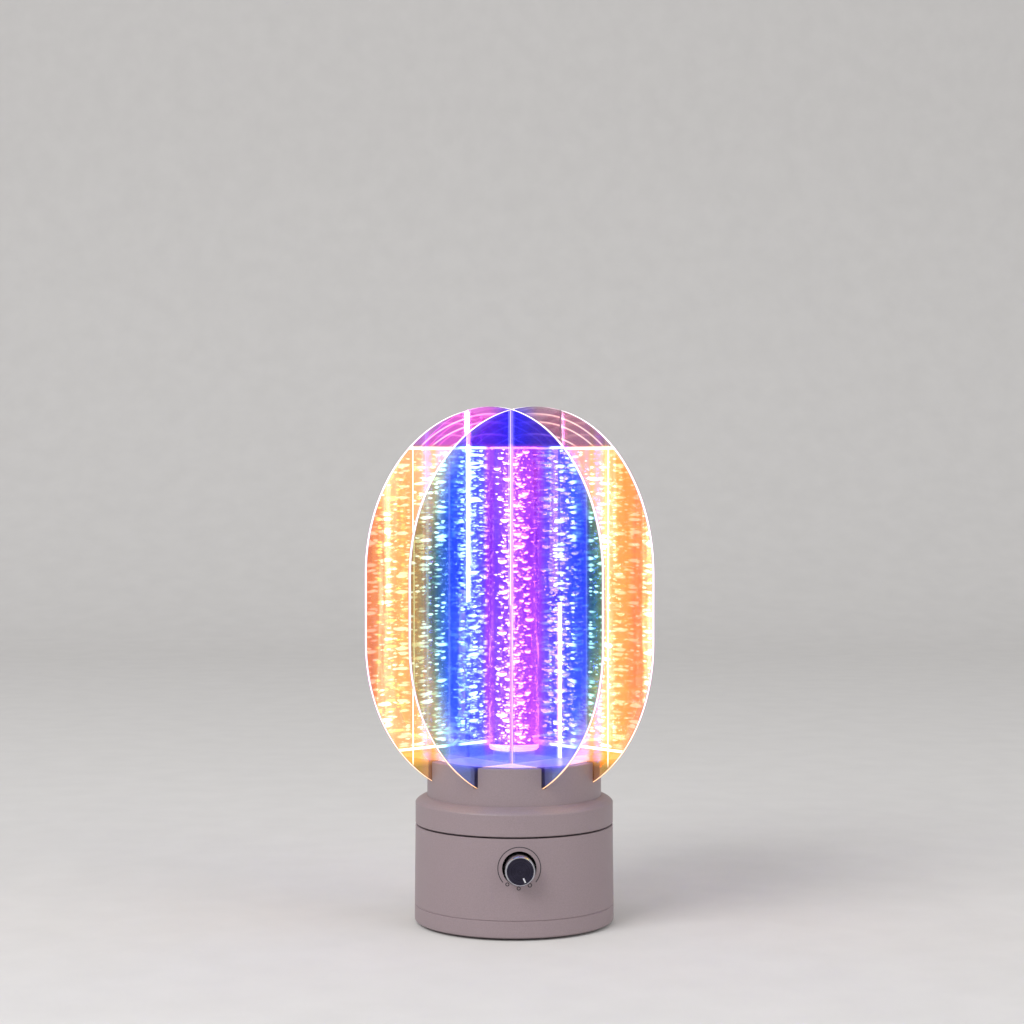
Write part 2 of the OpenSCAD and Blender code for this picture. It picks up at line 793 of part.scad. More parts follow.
module motor_can() {
    bush_d = 4.5;
    bush_h = 1;
    color("#b4b7bb")
    at_motor(z_can)
        union() {
            intersection() {
                cylinder(d = motor_w, h = can_h);
                translate([-motor_depth * half, -motor_w, 0])
                    cube([motor_depth, 2 * motor_w, can_h]);
            }
            translate([0, 0, -bush_h])
                cylinder(d = bush_d, h = bush_h + eps);
        }
}

module motor_screws() {
    color("#9a9ca0")
    at_motor(z_chassis_top)
        for (s = [-1, 1])
            translate([0, s * motor_w * 0.36, 0])
                small_screw();
}

module main_board() {
    color("#1f5a3c")
    difference() {
        translate([-main_board_w * half, main_board_y - main_board_l, z_board])
            cube([main_board_w, main_board_l, board_t]);
        at_board_screws(z_board - eps)
            cylinder(d = small_screw_d + 2 * hole_play, h = board_t + 2 * eps);
    }
}

module board_parts() {
    mid_y = main_board_y - main_board_l * half;
    color("#26282b")
    translate([0, mid_y, z_board_top]) {
        translate([-chip_w * half, -chip_w * half, 0])
            cube([chip_w, chip_w, chip_h]);
        translate([chip_w, -coil_w * half, 0])
            cube([coil_w, coil_w, coil_h]);
        translate([-chip_w - cap_d * half, 0, 0])
            cylinder(d = cap_d, h = cap_h);
        translate([-plug_w * half, chip_w, 0])
            cube([plug_w, plug_l, plug_h]);
    }
}

module board_screws() {
    color("#9a9ca0")
    at_board_screws(z_board_top)
        small_screw();
}

module cell() {
    button_d = 6;
    button_h = 0.8;
    color("#3f6fb0")
    translate([-cell_len * half, cell_y, z_cell])
        rotate([0, 90, 0])
            union() {
                cylinder(d = cell_d, h = cell_len);
                translate([0, 0, cell_len - eps])
                    cylinder(d = button_d, h = button_h);
            }
}

module cell_strap() {
    inner = cell_d * half + cell_clear;
    outer = inner + strap_t;
    foot_end = outer + strap_foot;
    bends = 24;
    arc = [for (i = [0:bends]) [cos(180 * i / bends), sin(180 * i / bends)]];
    color("#b9bcc0")
    difference() {
        translate([strap_x - strap_w * half, cell_y, 0])
            rotate([90, 0, 90])
                linear_extrude(height = strap_w)
                    polygon(concat(
                        [[inner, z_floor], [foot_end, z_floor],
                         [foot_end, z_floor + strap_t], [outer, z_floor + strap_t]],
                        [for (v = arc) [0, z_cell] + outer * v],
                        [[-outer, z_floor + strap_t], [-foot_end, z_floor + strap_t],
                         [-foot_end, z_floor], [-inner, z_floor]],
                        [for (i = [bends:-1:0]) [0, z_cell] + inner * arc[i]]));
        at_strap_feet(z_floor - eps)
            cylinder(d = small_screw_d + 2 * hole_play, h = strap_t + 2 * eps);
    }
}

module strap_screws() {
    length = strap_t + cover_floor - 1;
    color("#9a9ca0")
    at_strap_feet(z_floor + strap_t)
        screw(small_screw_d, small_head_d, small_head_h, length);
}

module usb_board() {
    color("#1f5a3c")
    difference() {
        translate([-usb_board_w * half, usb_board_y, z_board])
            cube([usb_board_w, usb_board_l, board_t]);
        at_board_screws(z_board - eps)
            cylinder(d = small_screw_d + 2 * hole_play, h = board_t + 2 * eps);
    }
}

// A flat tube section with round ends, w wide and h high, lying along +Y from the origin.
module flat_round(w, h, depth) {
    for (s = [-1, 1])
        translate([s * (w - h) * half, 0, 0])
            rotate([-90, 0, 0])
                cylinder(d = h, h = depth);
    translate([-(w - h) * half, 0, -h * half])
        cube([w - h, depth, h]);
}

module usb_socket() {
    back = 1;
    tongue_w = usb_w * 0.74;
    color("#c4c7cb")
    translate([0, usb_mouth_y - usb_depth, usb_z])
        union() {
            difference() {
                flat_round(usb_w, usb_h, usb_depth);
                translate([0, back, 0])
                    flat_round(usb_w - 2 * usb_wall, usb_h - 2 * usb_wall, usb_depth);
            }
            translate([-tongue_w * half, back - eps, -usb_tongue * half])
                cube([tongue_w, usb_depth - 2 * back, usb_tongue]);
        }
}

module dimmer_body() {
    bore_d = shaft_d + 2 * run_clear;
    color("#3a3c40")
    translate([0, 0, knob_z])
        rotate([-90, 0, 0])
            difference() {
                union() {
                    translate([-dimmer_w * half, -dimmer_w * half, dimmer_y])
                        cube([dimmer_w, dimmer_w, dimmer_depth]);
                    translate([0, 0, bushing_y])
                        cylinder(d = bushing_d, h = bushing_len + eps);
                }
                translate([0, 0, bushing_y - eps])
                    cylinder(d = bore_d, h = dimmer_back_y - bushing_y + 2 * eps);
            }
}

module dimmer_board() {
    color("#1f5a3c")
    difference() {
        translate([-dimmer_board_w * half, dimmer_back_y, knob_z - dimmer_board_h * half])
            cube([dimmer_board_w, board_t, dimmer_board_h]);
        at_dimmer_screws(dimmer_back_y - eps)
            cylinder(d = small_screw_d + 2 * hole_play, h = board_t + 2 * eps);
    }
}

module dimmer_screws() {
    color("#9a9ca0")
    at_dimmer_screws(dimmer_back_y + board_t)
        small_screw();
}

// The leads run in pairs, half a lead's width each side of their common route.
lead_pair = lead_d * 0.6;

module light_leads() {
    start_x = main_board_w * 0.25;
    start_y = main_board_y - main_board_l * 0.2;
    side = [0.4, 0.92, 0];
    up = [0, 0, 1];
    color("#b5352c")
    for (s = [-1, 1])
        translate(s * lead_pair * side)
            lead([[start_x, start_y, z_board_top],
                  [start_x, start_y, z_board_top + 3 * lead_rise],
                  [column_bore * 0.38, -column_bore * 0.25, (z_board_top + z_chassis) * half],
                  [0, 0, z_chassis],
                  [0, 0, z_drum],
                  [0, 0, z_column_top]], up, up, side);
}

module motor_leads() {
    board_x = main_board_w * 0.38;
    end_x = gear_distance * cos(motor_angle) + motor_depth * half - lead_d;
    end_y = gear_distance * sin(motor_angle);
    up = [0, 0, 1];
    color("#d8c23a")
    for (s = [-1, 1])
        translate([0, end_y + s * lead_pair, 0])
            lead([[-board_x, 0, z_board_top],
                  [-board_x, 0, z_board_top + lead_rise],
                  [-(board_x - end_x) * half, 0, z_board_top + lead_rise],
                  [end_x, 0, z_can - lead_rise],
                  [end_x, 0, z_can]], up, up, [0, 1, 0.1]);
}

module cell_leads() {
    end_x = cell_len * half;
    board_x = main_board_w * 0.4;
    board_y = main_board_y - 2 * board_inset;
    color("#b5352c")
    for (s = [-1, 1])
        lead([[s * end_x, cell_y - cell_d * 0.27, z_cell],
              [s * (end_x + lead_rise), cell_y - cell_d * 0.3, z_cell],
              [s * (end_x + lead_rise), cell_y - cell_d * 0.5, z_cell],
              [s * (board_x + end_x) * half, main_board_y - board_inset * half, z_board_top + lead_rise],
              [s * board_x, board_y, z_board_top + lead_rise],
              [s * board_x, board_y, z_board_top]], [s, 0, 0], [0, 0, -1], [0.5 * s, 0.7, 0.5]);
}

module dimmer_leads() {
    board_back = dimmer_back_y + board_t;
    start_y = board_back + 2 * lead_rise;
    end_z = knob_z - dimmer_board_h * 0.15;
    color("#dcdcd8")
    for (s = [-1, 1])
        translate([s * lead_pair, 0, 0])
            lead([[0, start_y, z_board_top],
                  [0, start_y, z_board_top + lead_rise],
                  [0, start_y, end_z - 2 * lead_rise],
                  [0, board_back + lead_rise, end_z],
                  [0, board_back, end_z]], [0, 0, 1], [0, -1, 0], [1, 0.02, 0]);
}

module usb_leads() {
    over = z_cell + cell_d * half + lead_d;
    start_x = usb_board_w * 0.39;
    start_y = usb_board_y + usb_board_l * 0.43;
    over_x = usb_board_w * 0.6;
    end_x = usb_board_w * half;
    end_y = main_board_y - board_inset * 1.3;
    color("#44474c")
    for (s = [-1, 1])
        translate([s * lead_pair, 0, 0])
            lead([[start_x, start_y, z_board_top],
                  [start_x, start_y, z_board_top + 2 * lead_rise],
                  [over_x, cell_y + cell_d * 0.4, over],
                  [over_x, cell_y - cell_d * 0.3, over],
                  [end_x, end_y, z_board_top + 2 * lead_rise],
                  [end_x, end_y, z_board_top]], [0, 0, 1], [0, 0, -1], [1, 0.1, 0]);
}

module press_plunger() {
    color("#d8d2c4")
    translate([0, plunger_y, knob_z])
        rotate([-90, 0, 0])
            cylinder(d = shaft_d - half, h = plunger_t);
}

module dimmer_shaft() {
    front_y = knob_back_y - shaft_grip;
    color("#b9bcc0")
    translate([0, front_y, knob_z])
        rotate([-90, 0, 0])
            cylinder(d = shaft_d, h = plunger_y - front_y);
}

module knob() {
    knob_r = knob_d * half;
    knob_len = knob_back_y - knob_face_y;
    skirt = 0.3;
    color("#c9ccd0")
    translate([0, knob_back_y, knob_z])
        rotate([90, 0, 0])
            difference() {
                rotate_extrude()
                    polygon([[0, 0],
                             [knob_r - skirt, 0],
                             [knob_r, skirt],
                             [knob_r - skirt, knob_len - knob_bevel],
                             [knob_r - skirt - knob_bevel * 0.7, knob_len],
                             [0, knob_len]]);
                translate([0, 0, knob_len - knob_face_t])
                    cylinder(d = knob_face_d, h = knob_face_t + 1);
                translate([0, 0, -eps])
                    cylinder(d = shaft_d + 2 * run_clear, h = shaft_grip + hole_play);
            }
}

// Puts the child at the pointer: its own Z out of the knob's face, its own X along the pointer outwards.
module at_pointer() {
    translate([0, knob_face_y + knob_face_t, knob_z])
        rotate([90, 0, 0])
            rotate([0, 0, pointer_angle - 90])
                children();
}

module knob_face() {
    pointer_r = knob_face_d * half - 0.6;
    color("#3b3a40")
    difference() {
        translate([0, knob_face_y + knob_face_t, knob_z])
            rotate([90, 0, 0])
                cylinder(d = knob_face_d - 2 * run_clear, h = knob_face_t - run_clear);
        at_pointer()
            translate([pointer_r - pointer_len, -pointer_w * half, knob_face_t * half])
                cube([pointer_len, pointer_w, knob_face_t]);
    }
}

module knob_pointer() {
    pointer_r = knob_face_d * half - 0.6;
    color("#f1f1ee")
    at_pointer()
        translate([pointer_r - pointer_len, -pointer_w * half, knob_face_t * half])
            cube([pointer_len, pointer_w, knob_face_t * half - run_clear]);
}

module motor_shaft() {
    color("#d0d3d6")
    at_motor(z_chassis - motor_shaft_in)
        cylinder(d = motor_shaft_d, h = z_pinion + pinion_t - z_chassis + motor_shaft_in);
}

module drive_pinion() {
    color("#e4dcc4")
    at_motor(z_pinion)
        rotate([0, 0, -motor_angle])
            difference() {
                linear_extrude(height = pinion_t)
                    gear_outline(pinion_teeth, pinion_phase);
                translate([0, 0, -eps])
                    cylinder(d = motor_shaft_d + 2 * run_clear, h = pinion_t + 2 * eps);
            }
}

module hub_gear() {
    color("#efe9d6")
    difference() {
        union() {
            translate([0, 0, z_gear])
                linear_extrude(height = gear_t)
                    gear_outline(gear_teeth, gear_phase);
            translate([0, 0, z_gear + gear_t - eps])
                cylinder(r = hub_r, h = z_hub_top - z_gear - gear_t + eps);
            translate([0, 0, z_hub_flange])
                cylinder(d = hub_flange_d, h = hub_flange_t);
        }
        translate([0, 0, z_gear - eps])
            cylinder(r = column_d * half + run_clear, h = z_hub_top - z_gear + 2 * eps);
        around(hub_screw_n, hub_screw_r, z_hub_flange - eps, rest_turn)
            cylinder(d = screw_d + hole_play, h = hub_flange_t + 2 * eps);
    }
}

module hub_screws() {
    length = web_t + hub_flange_t;
    color("#9a9ca0")
    around(hub_screw_n, hub_screw_r, z_web_top, rest_turn)
        screw(screw_d, screw_head_d, screw_head_h, length);
}

// Copies the child to each of the four plates: its own X along the plate, its own Y through it.
module at_plates() {
    for (turn = [0, 90])
        for (side = [-1, 1])
            rotate([0, 0, plate_turn + turn])
                translate([0, side * plate_a, 0])
                    children();
}

module turntable_cap() {
    cap_in_r = seam_r - cap_wall;
    shoulder = [for (i = [0:round_steps]) shoulder_point(90 * i / round_steps)];
    color("#927c88")
    difference() {
        rotate_extrude()
            polygon(concat(
                [[cap_in_r, z_cap], [seam_r - seam_chamfer, z_cap], [seam_r, z_cap + seam_chamfer]],
                shoulder,
                round_points([drum_r - rim_round, z_drum_top - rim_round], rim_round, 0, 90),
                [[drum_in_r, z_drum_top],
                 [drum_in_r, z_deck],
                 [ledge_r, z_deck],
                 [ledge_r, z_web_top],
                 [hub_r + 2 * hole_play, z_web_top],
                 [hub_r + 2 * hole_play, z_drum],
                 [drum_in_r, z_drum],
                 [cap_in_r, z_cap_top - cap_wall * half]]));
        at_plates()
            translate([-drum_d, -slot_w * half, z_slot])
                cube([2 * drum_d, slot_w, slot_depth + 1]);
        around(hub_screw_n, hub_screw_r, z_drum - eps, rest_turn)
            cylinder(d = screw_d + 2 * hole_play, h = web_t + 2 * eps);
    }
}

module deck() {
    color("#eef0f4")
    translate([0, 0, z_deck])
        difference() {
            cylinder(r = drum_in_r - deck_clear, h = deck_t);
            translate([0, 0, -eps])
                cylinder(d = seat_neck_d + 2 * hole_play, h = deck_t + 2 * eps);
        }
}

module rod_seat() {
    color("#f4f6fa")
    union() {
        translate([0, 0, z_drum_top])
            cylinder(d = seat_d, h = rod_lift);
        translate([0, 0, z_deck - seat_flange_t])
            cylinder(d = seat_neck_d, h = deck_t + seat_flange_t + eps);
        translate([0, 0, z_deck - seat_flange_t])
            cylinder(d = seat_d, h = seat_flange_t);
    }
}

module bubble_rod() {
    rod_r = rod_d * half;
    color("#e6f2ff", 0.6)
    difference() {
        rotate_extrude()
            polygon([[0, z_rod],
                     [rod_r - rod_chamfer, z_rod],
                     [rod_r, z_rod + rod_chamfer],
                     [rod_r, z_rod + rod_len - rod_chamfer],
                     [rod_r - rod_chamfer, z_rod + rod_len],
                     [0, z_rod + rod_len]]);
        for (i = [0:bubble_count - 1])
            translate(bubble_middle(i))
                sphere(r = bubble_r(i), $fn = bubble_sides);
    }
}

// One plate before it is slotted: two round ends and the straight part, cut off at its foot.
module plate_blank() {
    translate([0, plate_half_t, 0])
        rotate([90, 0, 0])
            difference() {
                union() {
                    translate([0, z_plate_low, 0])
                        cylinder(r = plate_r, h = plate_t, $fn = 180);
                    translate([0, z_plate_high, 0])
                        cylinder(r = plate_r, h = plate_t, $fn = 180);
                    translate([-plate_r, z_plate_low, 0])
                        cube([2 * plate_r, plate_straight, plate_t]);
                }
                translate([-plate_r, z_plate_foot - 2 * plate_r, -eps])
                    cube([2 * plate_r, 2 * plate_r, plate_t + 2 * eps]);
                translate([-plate_tab_u, z_plate_foot - eps, -eps])
                    cube([2 * plate_tab_u, z_plate_edge - z_plate_foot + eps, plate_t + 2 * eps]);
            }
}

// A plate slotted from above, for the pair that stands first.
module plate_open_above() {
    difference() {
        plate_blank();
        for (s = [-1, 1])
            translate([s * plate_a - slot_w * half, -plate_t, z_lap - slot_clear])
                cube([slot_w, 2 * plate_t, z_plate_top]);
    }
}

// A plate slotted from below, for the pair that drops over the first.
module plate_open_below() {
    difference() {
        plate_blank();
        for (s = [-1, 1])
            translate([s * plate_a - slot_w * half, -plate_t, 0])
                cube([slot_w, 2 * plate_t, z_lap + slot_clear]);
    }
}

module plate_back_left() {
    color("#5a4ad8", 0.6)
    rotate([0, 0, plate_turn])
        translate([0, plate_a, 0])
            plate_open_above();
}

module plate_front_right() {
    color("#5a4ad8", 0.6)
    rotate([0, 0, plate_turn])
        translate([0, -plate_a, 0])
            plate_open_above();
}

module plate_front_left() {
    color("#c04ad0", 0.6)
    rotate([0, 0, plate_turn + 90])
        translate([0, plate_a, 0])
            plate_open_below();
}

module plate_back_right() {
    color("#c04ad0", 0.6)
    rotate([0, 0, plate_turn + 90])
        translate([0, -plate_a, 0])
            plate_open_below();
}

base_shell();
bottom_cover();
rubber_feet();
cover_screws();
chassis_plate();
chassis_screws();
light_column();
column_screws();
thrust_washer();
retaining_ring();
light_board();
light_emitter();
motor_gearbox();
motor_can();
motor_screws();
main_board();
board_parts();
board_screws();
cell();
cell_strap();
strap_screws();
usb_board();
usb_socket();
dimmer_body();
dimmer_board();
dimmer_screws();
light_leads();
motor_leads();
cell_leads();
dimmer_leads();
usb_leads();
press_plunger();
dimmer_shaft();
knob();
knob_face();
knob_pointer();
motor_shaft();
drive_pinion();
hub_gear();
hub_screws();
turntable_cap();
deck();
rod_seat();
bubble_rod();
plate_back_left();
plate_front_right();
plate_front_left();
plate_back_right();
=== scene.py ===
import math
import random

import bmesh
import bpy
from mathutils import Matrix, Vector


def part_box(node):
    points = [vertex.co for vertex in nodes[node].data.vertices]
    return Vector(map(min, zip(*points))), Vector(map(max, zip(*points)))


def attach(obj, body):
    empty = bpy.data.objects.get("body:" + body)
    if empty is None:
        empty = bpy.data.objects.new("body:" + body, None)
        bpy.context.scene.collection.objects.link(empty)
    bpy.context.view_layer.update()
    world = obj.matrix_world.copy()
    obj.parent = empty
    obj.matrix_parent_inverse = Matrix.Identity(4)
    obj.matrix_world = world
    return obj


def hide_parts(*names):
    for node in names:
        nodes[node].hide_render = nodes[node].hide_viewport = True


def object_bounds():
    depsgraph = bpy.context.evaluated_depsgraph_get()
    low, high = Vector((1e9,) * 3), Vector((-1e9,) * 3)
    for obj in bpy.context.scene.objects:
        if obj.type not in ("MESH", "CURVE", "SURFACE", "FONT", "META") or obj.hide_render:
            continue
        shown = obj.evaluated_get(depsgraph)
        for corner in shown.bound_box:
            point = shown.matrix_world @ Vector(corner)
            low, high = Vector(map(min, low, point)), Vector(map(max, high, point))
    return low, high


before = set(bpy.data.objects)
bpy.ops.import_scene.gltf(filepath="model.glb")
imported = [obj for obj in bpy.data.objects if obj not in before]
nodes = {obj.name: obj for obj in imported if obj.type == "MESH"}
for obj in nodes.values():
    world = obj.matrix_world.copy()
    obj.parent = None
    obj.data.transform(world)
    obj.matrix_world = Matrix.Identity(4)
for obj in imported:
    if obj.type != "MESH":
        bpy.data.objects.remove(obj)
cad_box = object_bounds()

# Base shell, bottom cover and turntable cap: three ABS mouldings in one taupe colour, with the fine
# satin grain of a spark-eroded tool. The cap turns above the upper seam; the cover is screwed on below.
MM = 0.001
NOISE_LOW, NOISE_HIGH = 0.3, 0.7  # a noise texture mostly stays between these


def linear(hex_colour):
    """An sRGB hex colour as the linear values that a socket takes."""
    parts = [int(hex_colour[i : i + 2], 16) / 255 for i in (1, 3, 5)]
    return [c / 12.92 if c < 0.04045 else ((c + 0.055) / 1.055) ** 2.4 for c in parts] + [1.0]


def add_node(tree, kind, inputs=None, stops=(), **settings):
    """Adds a node with its settings. A socket among its inputs is linked; stops fill its colour ramp."""
    made = tree.nodes.new("ShaderNode" + kind)
    for key, value in settings.items():
        setattr(made, key, value)
    for key, value in (inputs or {}).items():
        if isinstance(value, bpy.types.NodeSocket):
            tree.links.new(value, made.inputs[key])
        else:
            made.inputs[key].default_value = value
    while stops and len(made.color_ramp.elements) < len(stops):
        made.color_ramp.elements.new(0.5)
    for stop, (place, colour) in enumerate(stops):
        made.color_ramp.elements[stop].position = place
        made.color_ramp.elements[stop].color = linear(colour)
    return made


def new_material(name, **inputs):
    mat = bpy.data.materials.new(name)
    mat.use_nodes = True
    bsdf = mat.node_tree.nodes["Principled BSDF"]
    for key, value in inputs.items():
        bsdf.inputs[key.replace("_", " ")].default_value = value
    return mat, mat.node_tree, bsdf


def mottled(name, pale, dark, grain_mm, roughness, metallic=0.0, bump_mm=0.0, spread=0.08,
            stretch=(1, 1, 1)):
    """A material whose colour and gloss wander on a grain in millimetres, which stretch draws out."""
    mat, tree, bsdf = new_material(name, Metallic=metallic)
    place = add_node(tree, "Mapping", {
        "Vector": add_node(tree, "TexCoord").outputs["Object"],
        "Scale": [1 / (grain_mm * MM * s) for s in stretch],
    })
    grain = add_node(tree, "TexNoise", {"Vector": place.outputs["Vector"], "Scale": 1.0, "Detail": 3.0})
    colour = add_node(tree, "ValToRGB", {"Fac": grain.outputs["Fac"]}, [
        (NOISE_LOW, dark), (NOISE_HIGH, pale),
    ])
    tree.links.new(colour.outputs["Color"], bsdf.inputs["Base Color"])
    gloss = add_node(tree, "MapRange", {
        "Value": grain.outputs["Fac"],
        "To Min": roughness - spread,
        "To Max": roughness + spread,
    })
    tree.links.new(gloss.outputs["Result"], bsdf.inputs["Roughness"])
    if bump_mm:
        bump = add_node(tree, "Bump", {
            "Height": grain.outputs["Fac"],
            "Distance": bump_mm * MM,
            "Strength": 0.6,
        })
        tree.links.new(bump.outputs["Normal"], bsdf.inputs["Normal"])
    return mat


def dress(mat, *names):
    """Gives a material to CAD nodes that are shown as they are."""
    for name in names:
        nodes[name].data.materials.clear()
        nodes[name].data.materials.append(mat)


# ABS, moulded in a spark-eroded tool: a soft broad sheen on a fine even grain. The real grain is about
# 0.1 mm, drawn at 0.5 mm so that it shows.
taupe_abs = mottled("taupe_abs", "#948488", "#8b7b7f", grain_mm=0.5, roughness=0.46, bump_mm=0.02)
dress(taupe_abs, "base_shell", "bottom_cover", "turntable_cap")

# Rubber feet: four discs moulded in black rubber and glued into the cover's recesses. They are matt, with
# a trace of chalky bloom.
foot_rubber = mottled("foot_rubber", "#303032", "#222224", grain_mm=0.8, roughness=0.8, bump_mm=0.03)
dress(foot_rubber, "rubber_feet")

# Screws: cold-headed steel with a cross recess, zinc plated in bulk, so that the plating's grey is uneven.
# They hold the cover, the chassis, the boards, the motor, the dimmer and the hub gear.
zinc_plated = mottled("zinc_plated_steel", "#b4b7ba", "#8f9296", grain_mm=0.6, roughness=0.34, metallic=1.0)
dress(zinc_plated, "cover_screws", "chassis_screws", "column_screws", "motor_screws", "board_screws",
      "strap_screws", "dimmer_screws", "hub_screws")

# Chassis plate and cell strap: sheet steel, hot galvanised, punched and bent, and screwed down in the base.
# The zinc's crystals show as a spangle of paler and darker patches.
SPANGLE = 3 * MM
galvanised, tree, bsdf = new_material("galvanised_steel", Metallic=1.0, Roughness=0.42)
spangle = add_node(tree, "TexVoronoi", {
    "Vector": add_node(tree, "TexCoord").outputs["Object"],
    "Scale": 1 / SPANGLE,
    "Randomness": 1.0,
})
crystal = add_node(tree, "SeparateColor", {"Color": spangle.outputs["Color"]})
zinc = add_node(tree, "ValToRGB", {"Fac": crystal.outputs["Red"]}, [
    (0.0, "#85898d"), (0.5, "#9ba0a4"), (1.0, "#b3b7ba"),
])
tree.links.new(zinc.outputs["Color"], bsdf.inputs["Base Color"])
dress(galvanised, "chassis_plate", "cell_strap")

# Light column: turned from aluminium bar, the axle of the turntable and the heat sink of the light. The
# lathe's fine rings run round it. The dimmer's and the motor's shafts are drawn and ground rod with lines
# along them, and the retaining ring on the column is darker spring steel.
turned_aluminium = mottled("turned_aluminium", "#c6c9cc", "#a9adb1", grain_mm=0.35, roughness=0.3,
                           metallic=1.0, bump_mm=0.01, stretch=(40, 40, 1))
drawn_rod = mottled("drawn_rod", "#c3c6c9", "#a2a6aa", grain_mm=0.2, roughness=0.26, metallic=1.0,
                    stretch=(1, 30, 1))
ground_steel = mottled("ground_steel", "#cfd2d4", "#b0b4b8", grain_mm=0.2, roughness=0.2, metallic=1.0,
                       stretch=(1, 1, 30))
spring_steel = mottled("spring_steel", "#8c8f94", "#6a6e74", grain_mm=0.5, roughness=0.32, metallic=1.0)
dress(turned_aluminium, "light_column")
dress(drawn_rod, "dimmer_shaft")
dress(ground_steel, "motor_shaft")
dress(spring_steel, "retaining_ring")

# Bearing, gears and press plunger: moulded in natural nylon, waxy and slightly translucent. The washer
# carries the cap on the column, the hub gear is screwed under the cap, and the pinion drives it.
nylon = mottled("natural_nylon", "#eae4d3", "#ded7c3", grain_mm=2.5, roughness=0.5, bump_mm=0.01)
waxy = nylon.node_tree.nodes["Principled BSDF"]
waxy.inputs["Subsurface Weight"].default_value = 0.15
waxy.inputs["Subsurface Radius"].default_value = [1.5 * MM, 1.2 * MM, 0.9 * MM]
dress(nylon, "thrust_washer", "hub_gear", "drive_pinion", "press_plunger")

# Gear motor: a stamped brass gearbox on a drawn, nickel-plated can, screwed under the chassis plate. The
# press and the draw leave faint lines on both. The charging socket's shell has the same plating.
gearbox_brass = mottled("gearbox_brass", "#cdb06a", "#b2924c", grain_mm=0.7, roughness=0.32, metallic=1.0,
                        stretch=(1, 1, 6))
nickel_plate = mottled("nickel_plate", "#c2c3c2", "#a5a7a8", grain_mm=0.6, roughness=0.25, metallic=1.0,
                       stretch=(6, 6, 1))
dress(gearbox_brass, "motor_gearbox")
dress(nickel_plate, "motor_can", "usb_socket")

# Circuit boards: glass-epoxy laminate under a solder mask, green, or white on the light board. The etched
# traces show through the mask as lines, and bare metal pads stand in rows beside them. The parts on the
# boards and the dimmer's body are moulded in black epoxy.
TRACE_CELL, PAD_PITCH = 10 * MM, 2.2 * MM


def board(name, mask, trace, pad):
    mat, tree, bsdf = new_material(name, Roughness=0.38)
    coords = add_node(tree, "TexCoord").outputs["Object"]
    lines = add_node(tree, "TexBrick", {
        "Vector": coords,
        "Scale": 1 / TRACE_CELL,
        "Mortar Size": 0.02,
        "Brick Width": 0.55,
        "Row Height": 0.12,
    })
    pads = add_node(tree, "TexVoronoi", {"Vector": coords, "Scale": 1 / PAD_PITCH, "Randomness": 0.25})
    on_pad = add_node(tree, "MapRange", {
        "Value": pads.outputs["Distance"],
        "From Min": 0.16,
        "From Max": 0.2,
        "To Min": 1.0,
        "To Max": 0.0,
    })
    copper = add_node(tree, "Mix", {
        "Factor": lines.outputs["Fac"],
        "A": linear(mask),
        "B": linear(trace),
    }, data_type="RGBA")
    bare = add_node(tree, "Mix", {
        "Factor": on_pad.outputs["Result"],
        "A": copper.outputs["Result"],
        "B": linear(pad),
    }, data_type="RGBA")
    tree.links.new(bare.outputs["Result"], bsdf.inputs["Base Color"])
    tree.links.new(on_pad.outputs["Result"], bsdf.inputs["Metallic"])
    return mat


green_mask = board("green_solder_mask", mask="#17492f", trace="#25663f", pad="#c9cccd")
white_mask = board("white_solder_mask", mask="#e6e8e4", trace="#d6d9d4", pad="#cdb178")
black_epoxy = mottled("black_epoxy", "#2c2e31", "#222427", grain_mm=0.4, roughness=0.5, bump_mm=0.02)
dress(green_mask, "main_board", "usb_board", "dimmer_board")
dress(white_mask, "light_board")
dress(black_epoxy, "board_parts", "dimmer_body")

# Light emitter: a dome of silicone filled with yellow phosphor, cast on a base that is soldered to the
# light board. The filler's grain mottles its glow.
PHOSPHOR_GRAIN = 0.4 * MM


def shine(tree, bsdf, colour):
    """One colour for the surface and for the light that it gives off."""
    tree.links.new(colour, bsdf.inputs["Base Color"])
    tree.links.new(colour, bsdf.inputs["Emission Color"])


phosphor, tree, bsdf = new_material("phosphor_dome", Roughness=0.25, Emission_Strength=1.5)
coords = add_node(tree, "TexCoord").outputs["Object"]
grain = add_node(tree, "TexNoise", {"Vector": coords, "Scale": 1 / PHOSPHOR_GRAIN})
glow = add_node(tree, "ValToRGB", {"Fac": grain.outputs["Fac"]}, [
    (NOISE_LOW, "#f0d878"), (NOISE_HIGH, "#fff0b8"),
])
shine(tree, bsdf, glow.outputs["Color"])
dress(phosphor, "light_emitter")

# Cell and leads: the cell wears a shrunk blue sleeve with fine wrinkles round it; the leads are stranded
# copper in soft extruded PVC with a dull gloss, soldered at both ends.
cell_sleeve = mottled("cell_sleeve", "#4577ba", "#37639f", grain_mm=1.4, roughness=0.35, bump_mm=0.05,
                      stretch=(0.5, 4, 4))
dress(cell_sleeve, "cell")
for name, pale, dark, leads in (
    ("red_pvc", "#c03a30", "#a52d25", ("light_leads", "cell_leads")),
    ("yellow_pvc", "#dcc642", "#c4ae30", ("motor_leads",)),
    ("white_pvc", "#e2e2de", "#cfcfca", ("dimmer_leads",)),
    ("grey_pvc", "#4a4d52", "#3a3d42", ("usb_leads",)),
):
    dress(mottled(name, pale, dark, grain_mm=0.8, roughness=0.45), *leads)

